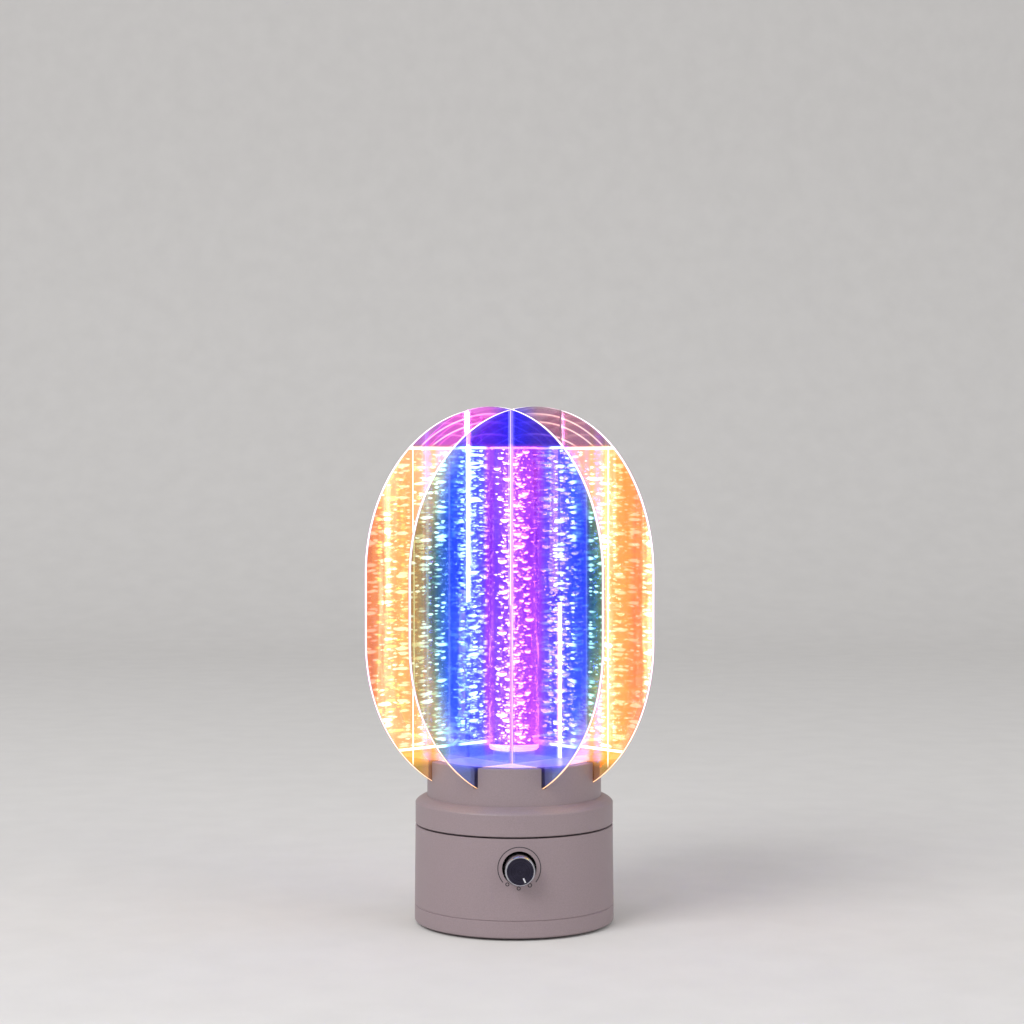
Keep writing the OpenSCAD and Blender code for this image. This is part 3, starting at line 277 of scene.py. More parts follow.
# Knob: a die-cast skirt, chrome plated, with a dark spun face let into it and a pointer line filled with
# white paint. It turns the dimmer's shaft and presses it in. The face's fine rings run round its middle.
knob_low, knob_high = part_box("knob")
KNOB_Z = (knob_low.z + knob_high.z) / 2
SPUN_RING = 0.25 * MM
chrome_plate = mottled("chrome_plate", "#bdbdc4", "#aeaeb6", grain_mm=1.5, roughness=0.14, metallic=1.0,
                       spread=0.04)
white_paint = mottled("white_paint", "#d4d4d6", "#c2c2c6", grain_mm=0.3, roughness=0.5)
spun, tree, bsdf = new_material("spun_dark_face", Metallic=1.0, Roughness=0.3, Anisotropic=0.9)
from_middle = add_node(tree, "VectorMath", {
    0: add_node(tree, "TexCoord").outputs["Object"],
    1: (0, 0, KNOB_Z),
}, operation="SUBTRACT")
flat = add_node(tree, "VectorMath", {0: from_middle.outputs["Vector"], 1: (1, 0, 1)}, operation="MULTIPLY")
reach = add_node(tree, "VectorMath", {0: flat.outputs["Vector"]}, operation="LENGTH")
rings = add_node(tree, "TexNoise", {
    "W": reach.outputs["Value"],
    "Scale": 1 / SPUN_RING,
}, noise_dimensions="1D")
colour = add_node(tree, "ValToRGB", {"Fac": rings.outputs["Fac"]}, [
    (NOISE_LOW, "#24222e"), (NOISE_HIGH, "#403d4c"),
])
tree.links.new(colour.outputs["Color"], bsdf.inputs["Base Color"])
round_middle = add_node(tree, "Tangent", direction_type="RADIAL", axis="Y")
tree.links.new(round_middle.outputs["Tangent"], bsdf.inputs["Tangent"])
dress(chrome_plate, "knob")
dress(white_paint, "knob_pointer")
dress(spun, "knob_face")

# Dial: an arc and three small rings round the knob, pad printed on the base wall in dark matt ink. The
# print follows the wall, which narrows upwards by its draft.
shell_low, shell_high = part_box("base_shell")
WALL_R, WALL_Z = shell_high.x, shell_low.z
WALL_DRAFT = 0.4 * MM / (shell_high.z - shell_low.z)
ARC_R, ARC_FIRST, ARC_LAST = 10.3 * MM, 50, 310
RINGS_R = 9.5 * MM
INK_W, INK_T = 0.45 * MM, 0.03 * MM
FACET = 5


def new_object(name, mesh, mats):
    """Turns a bmesh into an object with these materials."""
    data = bpy.data.meshes.new(name)
    mesh.to_mesh(data)
    mesh.free()
    for mat in mats:
        data.materials.append(mat)
    made = bpy.data.objects.new(name, data)
    bpy.context.collection.objects.link(made)
    return made


def new_piece(name, mesh, body, slot, mats, *replaced):
    piece = new_object(name, mesh, mats)
    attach(piece, body)
    if replaced:
        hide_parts(*replaced)


def print_arc(mesh, x, z, radius, first, last):
    """Spins a line of ink about (x, z) between two angles, in degrees from 6 o'clock."""
    ends = [mesh.verts.new((x, 0, z - r)) for r in (radius - INK_W / 2, radius + INK_W / 2)]
    line = [mesh.edges.new(ends)] + ends
    hub, across = (x, 0, z), (0, -1, 0)
    bmesh.ops.rotate(mesh, verts=ends, cent=hub, matrix=Matrix.Rotation(math.radians(first), 3, across))
    bmesh.ops.spin(mesh, geom=line, cent=hub, axis=across, angle=math.radians(last - first),
                   steps=max(12, int((last - first) / FACET)), use_merge=last - first == 360)


dial = bmesh.new()
print_arc(dial, 0, KNOB_Z, ARC_R, ARC_FIRST, ARC_LAST)
for angle, radius in ((-37.5, 0.75 * MM), (-2, 0.75 * MM), (32, 0.85 * MM)):
    turn = math.radians(angle - 90)
    print_arc(dial, RINGS_R * math.cos(turn), KNOB_Z + RINGS_R * math.sin(turn), radius, 0, 360)
for vert in dial.verts:
    radius = WALL_R - (vert.co.z - WALL_Z) * WALL_DRAFT + INK_T
    vert.co.y = -math.sqrt(radius**2 - vert.co.x**2)
bmesh.ops.recalc_face_normals(dial, faces=dial.faces[:])
for face in dial.faces:
    if face.normal.y > 0:
        face.normal_flip()
dial_ink = mottled("dial_ink", "#3c343a", "#322b31", grain_mm=0.3, roughness=0.6)
new_piece("dial_print", dial, "base", "black_parts", [dial_ink])

# Deck and light seat: opal acrylic, turned and polished, the deck on its ledge in the drum. The light below
# makes them glow in soft clouds, white at the seat, lavender over the deck and peach at its rim.
GLOW_R, CLOUD = 39 * MM, 9 * MM
opal, tree, bsdf = new_material("lit_opal_acrylic", Roughness=0.3)
coords = add_node(tree, "TexCoord").outputs["Object"]
flat = add_node(tree, "VectorMath", {0: coords, 1: (1, 1, 0)}, operation="MULTIPLY")
reach = add_node(tree, "VectorMath", {0: flat.outputs["Vector"]}, operation="LENGTH")
share = add_node(tree, "MapRange", {"Value": reach.outputs["Value"], "From Max": GLOW_R})
cloud = add_node(tree, "TexNoise", {"Vector": coords, "Scale": 1 / CLOUD, "Detail": 2.0})
patch = add_node(tree, "MapRange", {
    "Value": cloud.outputs["Fac"],
    "From Min": NOISE_LOW,
    "From Max": NOISE_HIGH,
    "To Min": -0.12,
    "To Max": 0.12,
})
place = add_node(tree, "Math", {0: share.outputs["Result"], 1: patch.outputs["Result"]}, operation="ADD")
glow = add_node(tree, "ValToRGB", {"Fac": place.outputs["Value"]}, [
    (0.0, "#fdf8ff"), (0.3, "#eae4ff"), (0.7, "#e6dcfa"), (1.0, "#ffd9bc"),
])
shine(tree, bsdf, glow.outputs["Color"])
strength = add_node(tree, "MapRange", {"Value": place.outputs["Value"], "To Min": 0.5, "To Max": 0.3})
tree.links.new(strength.outputs["Result"], bsdf.inputs["Emission Strength"])
dress(opal, "deck", "rod_seat")

# Bubble rod: a solid cast acrylic rod with its ends turned and polished, stood on the light seat. Its rims
# and the ring at its foot catch the light from below.
rod_low, rod_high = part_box("bubble_rod")
ROD_R, ROD_LOW, ROD_HIGH = rod_high.x, rod_low.z, rod_high.z
MIDDLE_Z = (ROD_LOW + ROD_HIGH) / 2
CHAMFER, FOOT_RING = 1.0 * MM, 1.3 * MM
ACRYLIC_IOR = 1.49
rod = bmesh.new()
bmesh.ops.create_cone(rod, cap_ends=True, segments=96, radius1=ROD_R, radius2=ROD_R,
                      depth=ROD_HIGH - ROD_LOW, matrix=Matrix.Translation((0, 0, MIDDLE_Z)))
rims = [e for e in rod.edges if abs(e.verts[0].co.z - e.verts[1].co.z) < 1e-6]
bmesh.ops.bevel(rod, geom=rims, offset=CHAMFER, segments=1, profile=0.5, affect="EDGES", material=-1)
bmesh.ops.bisect_plane(rod, geom=rod.verts[:] + rod.edges[:] + rod.faces[:],
                       plane_co=(0, 0, ROD_LOW + FOOT_RING), plane_no=(0, 0, 1))
for face in rod.faces:
    in_ring = face.calc_center_median().z < ROD_LOW + FOOT_RING and face.normal.z > -0.9
    face.smooth = abs(face.normal.z) < 0.9
    face.material_index = 1 if in_ring or 0.1 < abs(face.normal.z) < 0.9 else 0

# Clear cast acrylic: as clear as glass, with a faint violet cast and a polish that varies a little.
clear_acrylic, tree, bsdf = new_material("clear_cast_acrylic", Transmission_Weight=1.0, IOR=ACRYLIC_IOR)
coords = add_node(tree, "TexCoord").outputs["Object"]
grain = add_node(tree, "TexNoise", {"Vector": coords, "Scale": 1 / (6 * MM)})
colour = add_node(tree, "ValToRGB", {"Fac": grain.outputs["Fac"]}, [
    (NOISE_LOW, "#f6f4ff"), (NOISE_HIGH, "#ffffff"),
])
tree.links.new(colour.outputs["Color"], bsdf.inputs["Base Color"])
polish = add_node(tree, "MapRange", {"Value": grain.outputs["Fac"], "To Max": 0.02})
tree.links.new(polish.outputs["Result"], bsdf.inputs["Roughness"])

# The chamfers as turned, left matt: light caught in the rod leaves there, white with a rosy mottle.
lit_chamfer, tree, bsdf = new_material("lit_chamfer", Roughness=0.5, Emission_Strength=8.0)
coords = add_node(tree, "TexCoord").outputs["Object"]
grain = add_node(tree, "TexNoise", {"Vector": coords, "Scale": 1 / (1.5 * MM)})
glow = add_node(tree, "ValToRGB", {"Fac": grain.outputs["Fac"]}, [
    (NOISE_LOW, "#ffe9f4"), (NOISE_HIGH, "#ffffff"),
])
shine(tree, bsdf, glow.outputs["Color"])
new_piece("bubble_rod_clear", rod, "turntable", "clear_acrylic", [clear_acrylic, lit_chamfer], "bubble_rod")

# Bubbles: air caught in the casting, a lit core with a clear margin round it and fine ones near the skin.
# The large ones lie where the part's own hollows are: each turned by the golden angle from the one below
# it, its reach and its size taken from shares that never repeat. The fine ones are strewn between.
COUNT, CORE_R, MARGIN = 150, 5.8 * MM, 3 * MM
LEAST_R, MOST_R = 0.5 * MM, 1.6 * MM
GOLDEN_ANGLE = 137.508
REACH_STEP, REACH_START = 0.7549, 0.31
SIZE_STEP, SIZE_POWER = 0.5698, 1.8
FINE_CORE_R, SKIN_LOW, SKIN_HIGH = CORE_R * 1.1, 10.4 * MM, 11.6 * MM
SEED = 7
ball = bmesh.new()
bmesh.ops.create_uvsphere(ball, u_segments=10, v_segments=6, radius=1.0)
for face in ball.faces:
    face.smooth = True
one_bubble = bpy.data.meshes.new("one_bubble")
ball.to_mesh(one_bubble)
ball.free()
bubbles = bmesh.new()


def add_bubble(reach, turn, height, size):
    middle = Matrix.Translation((reach * math.cos(turn), reach * math.sin(turn), height))
    place = middle @ Matrix.Scale(size, 4)
    one_bubble.transform(place)
    bubbles.from_mesh(one_bubble)
    one_bubble.transform(place.inverted())


for i in range(COUNT):
    reach = CORE_R * math.sqrt((i * REACH_STEP + REACH_START) % 1)
    rise = (ROD_HIGH - ROD_LOW - 2 * MARGIN) * (i + 0.5) / COUNT
    size = LEAST_R + (MOST_R - LEAST_R) * ((i * SIZE_STEP) % 1) ** SIZE_POWER
    add_bubble(reach, math.radians(i * GOLDEN_ANGLE), ROD_LOW + MARGIN + rise, size)
luck = random.Random(SEED)
for in_core, count, least, most in ((True, 420, 0.22 * MM, 0.6 * MM), (False, 320, 0.12 * MM, 0.28 * MM)):
    for _ in range(count):
        reach = FINE_CORE_R * math.sqrt(luck.random()) if in_core else luck.uniform(SKIN_LOW, SKIN_HIGH)
        turn = luck.uniform(0, math.tau)
        height = luck.uniform(ROD_LOW + MARGIN, ROD_HIGH - MARGIN)
        add_bubble(reach, turn, height, luck.uniform(least, most))
bpy.data.meshes.remove(one_bubble)

# An air bubble in the acrylic throws the light from below back at its underside, a bright dash under a dim
# dome, and the bubbles' brightness wanders along the rod.
DOME_GLOW, DASH_GLOW = 0.6, (30.0, 90.0)
air, tree, bsdf = new_material("lit_air_bubbles", Roughness=0.2)
coords = add_node(tree, "TexCoord")
upwards = add_node(tree, "SeparateXYZ", {"Vector": coords.outputs["Normal"]}).outputs["Z"]
grain = add_node(tree, "TexNoise", {"Vector": coords.outputs["Object"], "Scale": 1 / (4 * MM)})
dash = add_node(tree, "MapRange", {"Value": upwards, "From Min": 0.3, "From Max": -0.15}).outputs["Result"]
glow = add_node(tree, "ValToRGB", {"Fac": dash}, [(0.0, "#c9c0f0"), (1.0, "#e6fff6")])
shine(tree, bsdf, glow.outputs["Color"])
flare = add_node(tree, "MapRange", {
    "Value": grain.outputs["Fac"],
    "From Min": 0.35,
    "From Max": 0.65,
    "To Min": DASH_GLOW[0],
    "To Max": DASH_GLOW[1],
})
strength = add_node(tree, "Mix", {0: dash, 2: DOME_GLOW, 3: flare.outputs["Result"]})
tree.links.new(strength.outputs[0], bsdf.inputs["Emission Strength"])
new_piece("rod_bubbles", bubbles, "turntable", "clear_acrylic", [air], "bubble_rod")

# Plates: 2 mm clear acrylic sheet, laser cut, with a dichroic film laminated on the inner face. The film
# sends orange back at the wings and lets blue and violet through; light caught in the sheet leaves at the
# cut edges as a thin bright line. The plates cross in half-depth slots and stand in the drum's rim slots.
HALF_W, SHEET_T = 81 * MM, 2 * MM
PLATE_A, PLATE_TURN = 16.75 * MM, 39  # each plate's distance from the axis, and the first pair's direction
ARC_Z = cad_box[1][2] - HALF_W  # the middle of a plate's upper arc
FILM_IOR, FILM_NM = 2.4, (55.0, 196.0)  # the film's coating is thin at the cool end, thick at the warm one
# Heights on a plate: the drum's rim, the rod's foot and its head, and how far the zones there fade.
RIM_Z, RIM_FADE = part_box("deck")[1].z, 2 * MM
FOOT_Z, FOOT_FADE = ROD_LOW + 4.5 * MM, 4 * MM
HEAD_Z, HEAD_FADE = ROD_HIGH - 0.5 * MM, 2 * MM
FLECK_FADE = 1 * MM
# A place along a plate is a share, from its cool end (0) over its middle (0.5) to its warm end (1). The
# warm end begins between these shares, and further in, by WARM_BOW at the rod's ends, above and below.
# The film's coating gains its thickness between the next two.
WARM_FIRST, WARM_FULL, WARM_BOW = 0.75, 0.81, 0.15
COAT_FIRST, COAT_FULL = 0.72, 0.8
# What passes through the sheet along it, for the two kinds of film: over the rod's length, at the warm end,
# above the rod, and under its foot, where the deck's light comes through.
TINTS = {
    "lavender": [
        (0.0, "#a8bc94"), (0.09, "#94beaa"), (0.13, "#84c4c8"), (0.15, "#74a8ec"), (0.19, "#7098f6"),
        (0.22, "#9abcfc"), (0.28, "#a0b2fc"), (0.295, "#d698f4"), (0.32, "#d496f6"), (0.335, "#b4a4fc"),
        (0.345, "#c8a0fc"), (0.41, "#cc9cfa"), (0.59, "#cc94fa"), (0.66, "#a8bafc"), (0.76, "#b8c0e2"),
    ],
    "purple": [
        (0.0, "#7abca0"), (0.055, "#7cbab0"), (0.07, "#7c9cf8"), (0.11, "#7c98f8"), (0.13, "#9ab2fc"),
        (0.24, "#a2a2fc"), (0.27, "#d896f6"), (0.32, "#ce90f6"), (0.4, "#c898fa"), (0.41, "#c0b2fc"),
        (0.59, "#c0b2fc"), (0.66, "#a8bafc"), (0.76, "#b8c0e2"),
    ],
}
WARM_TINTS = {
    "lavender": [(0.82, "#fbbc74"), (1.0, "#ffb060")],
    "purple": [(0.82, "#fbb470"), (1.0, "#ff9450")],
}
TOP_TINTS = {
    "lavender": [(0.0, "#8078fc"), (0.4, "#7068fc"), (0.5, "#c4a4b0"), (1.0, "#dcb8b0")],
    "purple": [(0.0, "#8078fc"), (0.4, "#7068fc"), (0.5, "#f488f0"), (1.0, "#fdb0e4")],
}
FOOT_TINT = [(0.66, "#9cb0fc"), (0.76, "#ffc468")]


def tinted_sheet(kind, layer):
    """A plate's face: the material's parts and the sockets that the film's own light also needs."""
    mat, tree, bsdf = new_material(f"{kind}_{layer}", Transmission_Weight=1.0, IOR=ACRYLIC_IOR,
                                   Roughness=0.0)
    place = add_node(tree, "UVMap", uv_map="sheet").outputs["UV"]
    spot = add_node(tree, "SeparateXYZ", {"Vector": place})
    height = spot.outputs["Y"]
    share = add_node(tree, "MapRange", {
        "Value": spot.outputs["X"],
        "From Min": -HALF_W,
        "From Max": HALF_W,
    }).outputs["Result"]
    level = add_node(tree, "MapRange", {
        "Value": height,
        "From Min": MIDDLE_Z,
        "From Max": HEAD_Z,
    }, clamp=False)
    bow = add_node(tree, "Math", {0: level.outputs["Result"], 1: 2.0}, operation="POWER")
    reach = add_node(tree, "Math", {
        0: bow.outputs["Value"],
        1: WARM_BOW,
        2: share,
    }, operation="MULTIPLY_ADD")
    warm_end = add_node(tree, "MapRange", {
        "Value": reach.outputs["Value"],
        "From Min": WARM_FIRST,
        "From Max": WARM_FULL,
    }).outputs["Result"]
    above = add_node(tree, "MapRange", {
        "Value": height,
        "From Min": HEAD_Z,
        "From Max": HEAD_Z + HEAD_FADE,
    }).outputs["Result"]
    below = add_node(tree, "MapRange", {
        "Value": height,
        "From Min": FOOT_Z,
        "From Max": FOOT_Z - FOOT_FADE,
    }).outputs["Result"]
    top_tint = add_node(tree, "ValToRGB", {"Fac": share}, TOP_TINTS[kind]).outputs["Color"]
    tint = add_node(tree, "ValToRGB", {"Fac": share}, TINTS[kind]).outputs["Color"]
    for zone, zone_tint in (
        (warm_end, add_node(tree, "ValToRGB", {"Fac": share}, WARM_TINTS[kind]).outputs["Color"]),
        (above, top_tint),
        (below, add_node(tree, "ValToRGB", {"Fac": share}, FOOT_TINT).outputs["Color"]),
    ):
        mixed = add_node(tree, "Mix", {"Factor": zone, "A": tint, "B": zone_tint}, data_type="RGBA")
        tint = mixed.outputs["Result"]
    tree.links.new(tint, bsdf.inputs["Base Color"])
    return mat, tree, bsdf, (place, height, share, warm_end, above, top_tint)


# What the film sends back of the rod's light at the warm end, from the crossing outwards: the purple kind
# runs from pink over a yellow column to coral, the lavender kind from peach over a pale column and orange
# to a pale rim. One upright line stands on each.
WARM = {
    "lavender": [
        (0.7, "#f4b48c"), (0.78, "#f8c890"), (0.815, "#ffe8a8"), (0.85, "#ffb44c"), (0.9, "#ffa038"),
        (0.935, "#f48034"), (0.96, "#ff9640"), (0.98, "#ffdc98"), (1.0, "#ffe4a8"),
    ],
    "purple": [
        (0.7, "#ffd0c8"), (0.78, "#ffd0a4"), (0.835, "#ffb464"), (0.88, "#ffc060"), (0.915, "#ffe294"),
        (0.935, "#ffe8a4"), (0.955, "#ff9438"), (1.0, "#e85c2c"),
    ],
}
WARM_LINE = {"lavender": 0.815, "purple": 0.824}
# The film's own faint glow away from the warm end, where light caught in it is scattered. A pale line
# stands where an outline of the rod is thrown on the film.
GLOW = {
    "lavender": [
        (0.0, "#344018"), (0.064, "#304430"), (0.068, "#e8f4c8"), (0.072, "#2c4834"), (0.09, "#2c4c38"),
        (0.12, "#006468"), (0.147, "#006484"), (0.151, "#e0d0ff"), (0.155, "#0050a0"), (0.17, "#0040c8"),
        (0.2, "#0040e8"), (0.285, "#1438f0"), (0.3, "#8808d8"), (0.32, "#8008e0"), (0.335, "#4424e8"),
        (0.41, "#800ce0"), (0.59, "#800ce0"), (0.65, "#1840f0"), (0.72, "#0c38d0"), (0.78, "#000000"),
    ],
    "purple": [
        (0.0, "#005838"), (0.05, "#005448"), (0.066, "#004898"), (0.07, "#d0d8ff"), (0.074, "#0038d8"),
        (0.15, "#0838e8"), (0.24, "#3c20e0"), (0.27, "#9808d8"), (0.32, "#8c0cdc"), (0.4, "#8810e0"),
        (0.41, "#5c24f0"), (0.59, "#5c24f0"), (0.65, "#1840f0"), (0.72, "#0c38d0"), (0.78, "#000000"),
    ],
}
# Where the rod's light falls on the cool end in flecks: columns as wide as the rod, white where they lie.
FLECK_COLUMNS = {
    "lavender": [
        (0.06, "#d8d8d8"), (0.075, "#ffffff"), (0.135, "#ffffff"), (0.15, "#000000"), (0.18, "#000000"),
        (0.195, "#ffffff"), (0.29, "#ffffff"), (0.305, "#000000"),
    ],
    "purple": [
        (0.055, "#ffffff"), (0.068, "#000000"), (0.105, "#000000"), (0.12, "#ffffff"), (0.22, "#ffffff"),
        (0.235, "#000000"),
    ],
}
# Two layers of flecks: the width and height of a cell, and the share of the cells that stay dark.
FLECKS = ((10.0 * MM, 2.3 * MM, 0.25), (4.0 * MM, 1.4 * MM, 0.6))
FLECK_MOST, FLECK_BLUR = 0.55, 0.2  # the largest fleck and its soft margin, as shares of a cell
FLECK_CREAM, FLECK_BLUISH, FOOT_GOLD, ARC_PEACH = "#fffae4", "#dcf6ff", "#ffa830", "#ffe4d0"
STREAK_W, STREAK_H, STREAK_WANDER = 4 * MM, 60 * MM, 0.05
# Lines on the film: the rod's rims at its foot and head, and arcs above it, the images of the other plates'
# edges. On the cool end the foot of the rod's image stands a little higher.
FOOT_LINE, HEAD_LINE, COOL_RISE = FOOT_Z - 1.75 * MM, HEAD_Z - 0.25 * MM, 5 * MM
ARC_LINES = (77.5 * MM, 73.5 * MM, 67.5 * MM)
# How strongly the film glows, bare and in a fleck, at the cool and the warm end; the share of that which
# its top gives; and the arcs.
COOL_GLOW, WARM_GLOW, TOP_GLOW, ARC_GLOW = (0.4, 2.6), (0.62, 2.1), 0.2, 0.7


def strewn_flecks(tree, place):
    """Flat flecks of light, as the rod's bubbles throw them on the film, 1 in the middle of a bright one."""
    layers = []
    for wide, high, dark in FLECKS:
        cells = add_node(tree, "Mapping", {"Vector": place, "Scale": (1 / wide, 1 / high, 1.0)})
        dots = add_node(tree, "TexVoronoi", {
            "Vector": cells.outputs["Vector"],
            "Scale": 1.0,
        }, voronoi_dimensions="2D")
        chance = add_node(tree, "SeparateColor", {"Color": dots.outputs["Color"]}).outputs["Red"]
        size = add_node(tree, "MapRange", {"Value": chance, "From Min": dark, "To Max": FLECK_MOST})
        inside = add_node(tree, "Math", {
            0: size.outputs["Result"],
            1: dots.outputs["Distance"],
        }, operation="SUBTRACT")
        layer = add_node(tree, "MapRange", {
            "Value": inside.outputs["Value"],
            "From Max": FLECK_BLUR,
            "To Max": chance,
        })
        layers.append(layer.outputs["Result"])
    return add_node(tree, "Math", {0: layers[0], 1: layers[1]}, operation="MAXIMUM").outputs["Value"]


def film_face(kind):
    """The inner face with the film, where the rod's light lies in upright bands, flecks and lines."""
    mat, tree, bsdf, (place, height, share, warm_end, above, top_tint) = tinted_sheet(kind, "film")
    bsdf.inputs["Thin Film IOR"].default_value = FILM_IOR
    depth = add_node(tree, "MapRange", {
        "Value": share,
        "From Min": COAT_FIRST,
        "From Max": COAT_FULL,
        "To Min": FILM_NM[0],
        "To Max": FILM_NM[1],
    })
    tree.links.new(depth.outputs["Result"], bsdf.inputs["Thin Film Thickness"])

    # The warm end's bands of colour, broken by drawn-out streaks.
    drawn = add_node(tree, "Mapping", {"Vector": place, "Scale": (1 / STREAK_W, 1 / STREAK_H, 1.0)})
    streaks = add_node(tree, "TexNoise", {"Vector": drawn.outputs["Vector"], "Scale": 1.0, "Detail": 2.0})
    wander = add_node(tree, "MapRange", {
        "Value": streaks.outputs["Fac"],
        "To Min": -STREAK_WANDER,
        "To Max": STREAK_WANDER,
    })
    band = add_node(tree, "Math", {0: share, 1: wander.outputs["Result"]}, operation="ADD").outputs["Value"]
    warm = add_node(tree, "ValToRGB", {"Fac": band}, WARM[kind]).outputs["Color"]
    paleness = add_node(tree, "SeparateColor", {"Color": warm}).outputs["Blue"]

    # Flecks over the length of the rod's image.
    raised = add_node(tree, "MapRange", {"Value": warm_end, "To Min": -COOL_RISE, "To Max": 0.0})
    over_foot = add_node(tree, "Math", {
        0: height,
        1: raised.outputs["Result"],
    }, operation="ADD").outputs["Value"]
    rod_foot = add_node(tree, "MapRange", {
        "Value": over_foot,
        "From Min": FOOT_Z - FLECK_FADE,
        "From Max": FOOT_Z,
    }).outputs["Result"]
    rod_top = add_node(tree, "MapRange", {
        "Value": height,
        "From Min": HEAD_Z + FLECK_FADE,
        "From Max": HEAD_Z,
    }).outputs["Result"]
    fleck = strewn_flecks(tree, place)
    for end in (rod_foot, rod_top):
        fleck = add_node(tree, "Math", {0: fleck, 1: end}, operation="MULTIPLY").outputs["Value"]

    # Lines: each lies where a measure of the film has one value, with a core and a faded margin.
    from_arc = add_node(tree, "VectorMath", {
        0: place,
        1: (0, ARC_Z, 0),
    }, operation="DISTANCE").outputs["Value"]
    lines = []
    for measure, middle, core, fade in (
        (over_foot, FOOT_LINE, 0.5 * MM, 0.8 * MM),
        (height, HEAD_LINE, 0.5 * MM, 0.8 * MM),
        (share, WARM_LINE[kind], 0.0012, 0.0028),
        *((from_arc, radius, 0.2 * MM, 0.55 * MM) for radius in ARC_LINES),
    ):
        apart = add_node(tree, "Math", {0: measure, 1: middle}, operation="SUBTRACT").outputs["Value"]
        off = add_node(tree, "Math", {0: apart}, operation="ABSOLUTE").outputs["Value"]
        line = add_node(tree, "MapRange", {"Value": off, "From Min": fade, "From Max": core})
        lines.append(line.outputs["Result"])
    foot_line, head_line, warm_line, arcs = lines[:4]
    rims = add_node(tree, "Math", {0: foot_line, 1: head_line}, operation="MAXIMUM").outputs["Value"]
    warm_lines = add_node(tree, "Math", {0: rims, 1: warm_line}, operation="MAXIMUM").outputs["Value"]
    for arc in lines[4:]:
        arcs = add_node(tree, "Math", {0: arcs, 1: arc}, operation="MAXIMUM").outputs["Value"]
    warm_half = add_node(tree, "MapRange", {
        "Value": share,
        "From Min": 0.36,
        "From Max": 0.5,
        "To Min": 0.15,
    })
    for limit in (above, warm_half.outputs["Result"]):
        arcs = add_node(tree, "Math", {0: arcs, 1: limit}, operation="MULTIPLY").outputs["Value"]

    # The glow's colour: flecks crowd in the pale bands of the warm end and in the columns of the cool one.
    crowd = add_node(tree, "MapRange", {
        "Value": paleness,
        "From Min": 0.05,
        "From Max": 0.35,
        "To Min": 0.3,
    })
    strewn = add_node(tree, "Math", {0: fleck, 1: crowd.outputs["Result"]}, operation="MULTIPLY")
    warm_fleck = add_node(tree, "Math", {
        0: strewn.outputs["Value"],
        1: warm_lines,
    }, operation="MAXIMUM").outputs["Value"]
    on_rod = add_node(tree, "Mix", {
        "Factor": rod_foot,
        "A": linear(FOOT_GOLD),
        "B": warm,
    }, data_type="RGBA")
    warm_glow = add_node(tree, "Mix", {
        "Factor": warm_fleck,
        "A": on_rod.outputs["Result"],
        "B": linear(FLECK_CREAM),
    }, data_type="RGBA")
    columns = add_node(tree, "ValToRGB", {"Fac": share}, FLECK_COLUMNS[kind]).outputs["Color"]
    with_rims = add_node(tree, "Math", {0: fleck, 1: rims}, operation="MAXIMUM").outputs["Value"]
    cool_fleck = add_node(tree, "Math", {0: with_rims, 1: columns}, operation="MULTIPLY").outputs["Value"]
    cool_glow = add_node(tree, "Mix", {
        "Factor": cool_fleck,
        "A": add_node(tree, "ValToRGB", {"Fac": share}, GLOW[kind]).outputs["Color"],
        "B": linear(FLECK_BLUISH),
    }, data_type="RGBA")
    along_rod = add_node(tree, "Mix", {
        "Factor": warm_end,
        "A": cool_glow.outputs["Result"],
        "B": warm_glow.outputs["Result"],
    }, data_type="RGBA")
    top_glow = add_node(tree, "Mix", {
        "Factor": arcs,
        "A": top_tint,
        "B": linear(ARC_PEACH),
    }, data_type="RGBA")
    glow = add_node(tree, "Mix", {
        "Factor": above,
        "A": along_rod.outputs["Result"],
        "B": top_glow.outputs["Result"],
    }, data_type="RGBA")
    tree.links.new(glow.outputs["Result"], bsdf.inputs["Emission Color"])

    # The glow's strength: none under the drum's rim, little above the rod.
    cool = add_node(tree, "MapRange", {"Value": cool_fleck, "To Min": COOL_GLOW[0], "To Max": COOL_GLOW[1]})
    hot = add_node(tree, "MapRange", {"Value": warm_fleck, "To Min": WARM_GLOW[0], "To Max": WARM_GLOW[1]})
    lit = add_node(tree, "Mix", {
        0: warm_end,
        2: cool.outputs["Result"],
        3: hot.outputs["Result"],
    }).outputs[0]
    for dark, full, least in (
        (RIM_Z - RIM_FADE, RIM_Z + RIM_FADE, 0.0),
        (HEAD_Z + FLECK_FADE, HEAD_Z, TOP_GLOW),
    ):
        limit = add_node(tree, "MapRange", {
            "Value": height,
            "From Min": dark,
            "From Max": full,
            "To Min": least,
        }).outputs["Result"]
        lit = add_node(tree, "Math", {0: lit, 1: limit}, operation="MULTIPLY").outputs["Value"]
    lit = add_node(tree, "Math", {0: arcs, 1: ARC_GLOW, 2: lit}, operation="MULTIPLY_ADD").outputs["Value"]
    tree.links.new(lit, bsdf.inputs["Emission Strength"])
    return mat


# A cut edge from its foot upwards, golden to rosy white. Beyond its core the light fades to a rest, over
# this share of the half width.
EDGE_GLOW = [(0.2, "#ffbe78"), (0.5, "#ffd8b8"), (0.8, "#ffdcec"), (1.0, "#fff6fb")]
EDGE_LOW, EDGE_HIGH, EDGE_GRAIN = 70 * MM, 170 * MM, 12 * MM
EDGE_FADE, EDGE_REST = 0.4, 0.07


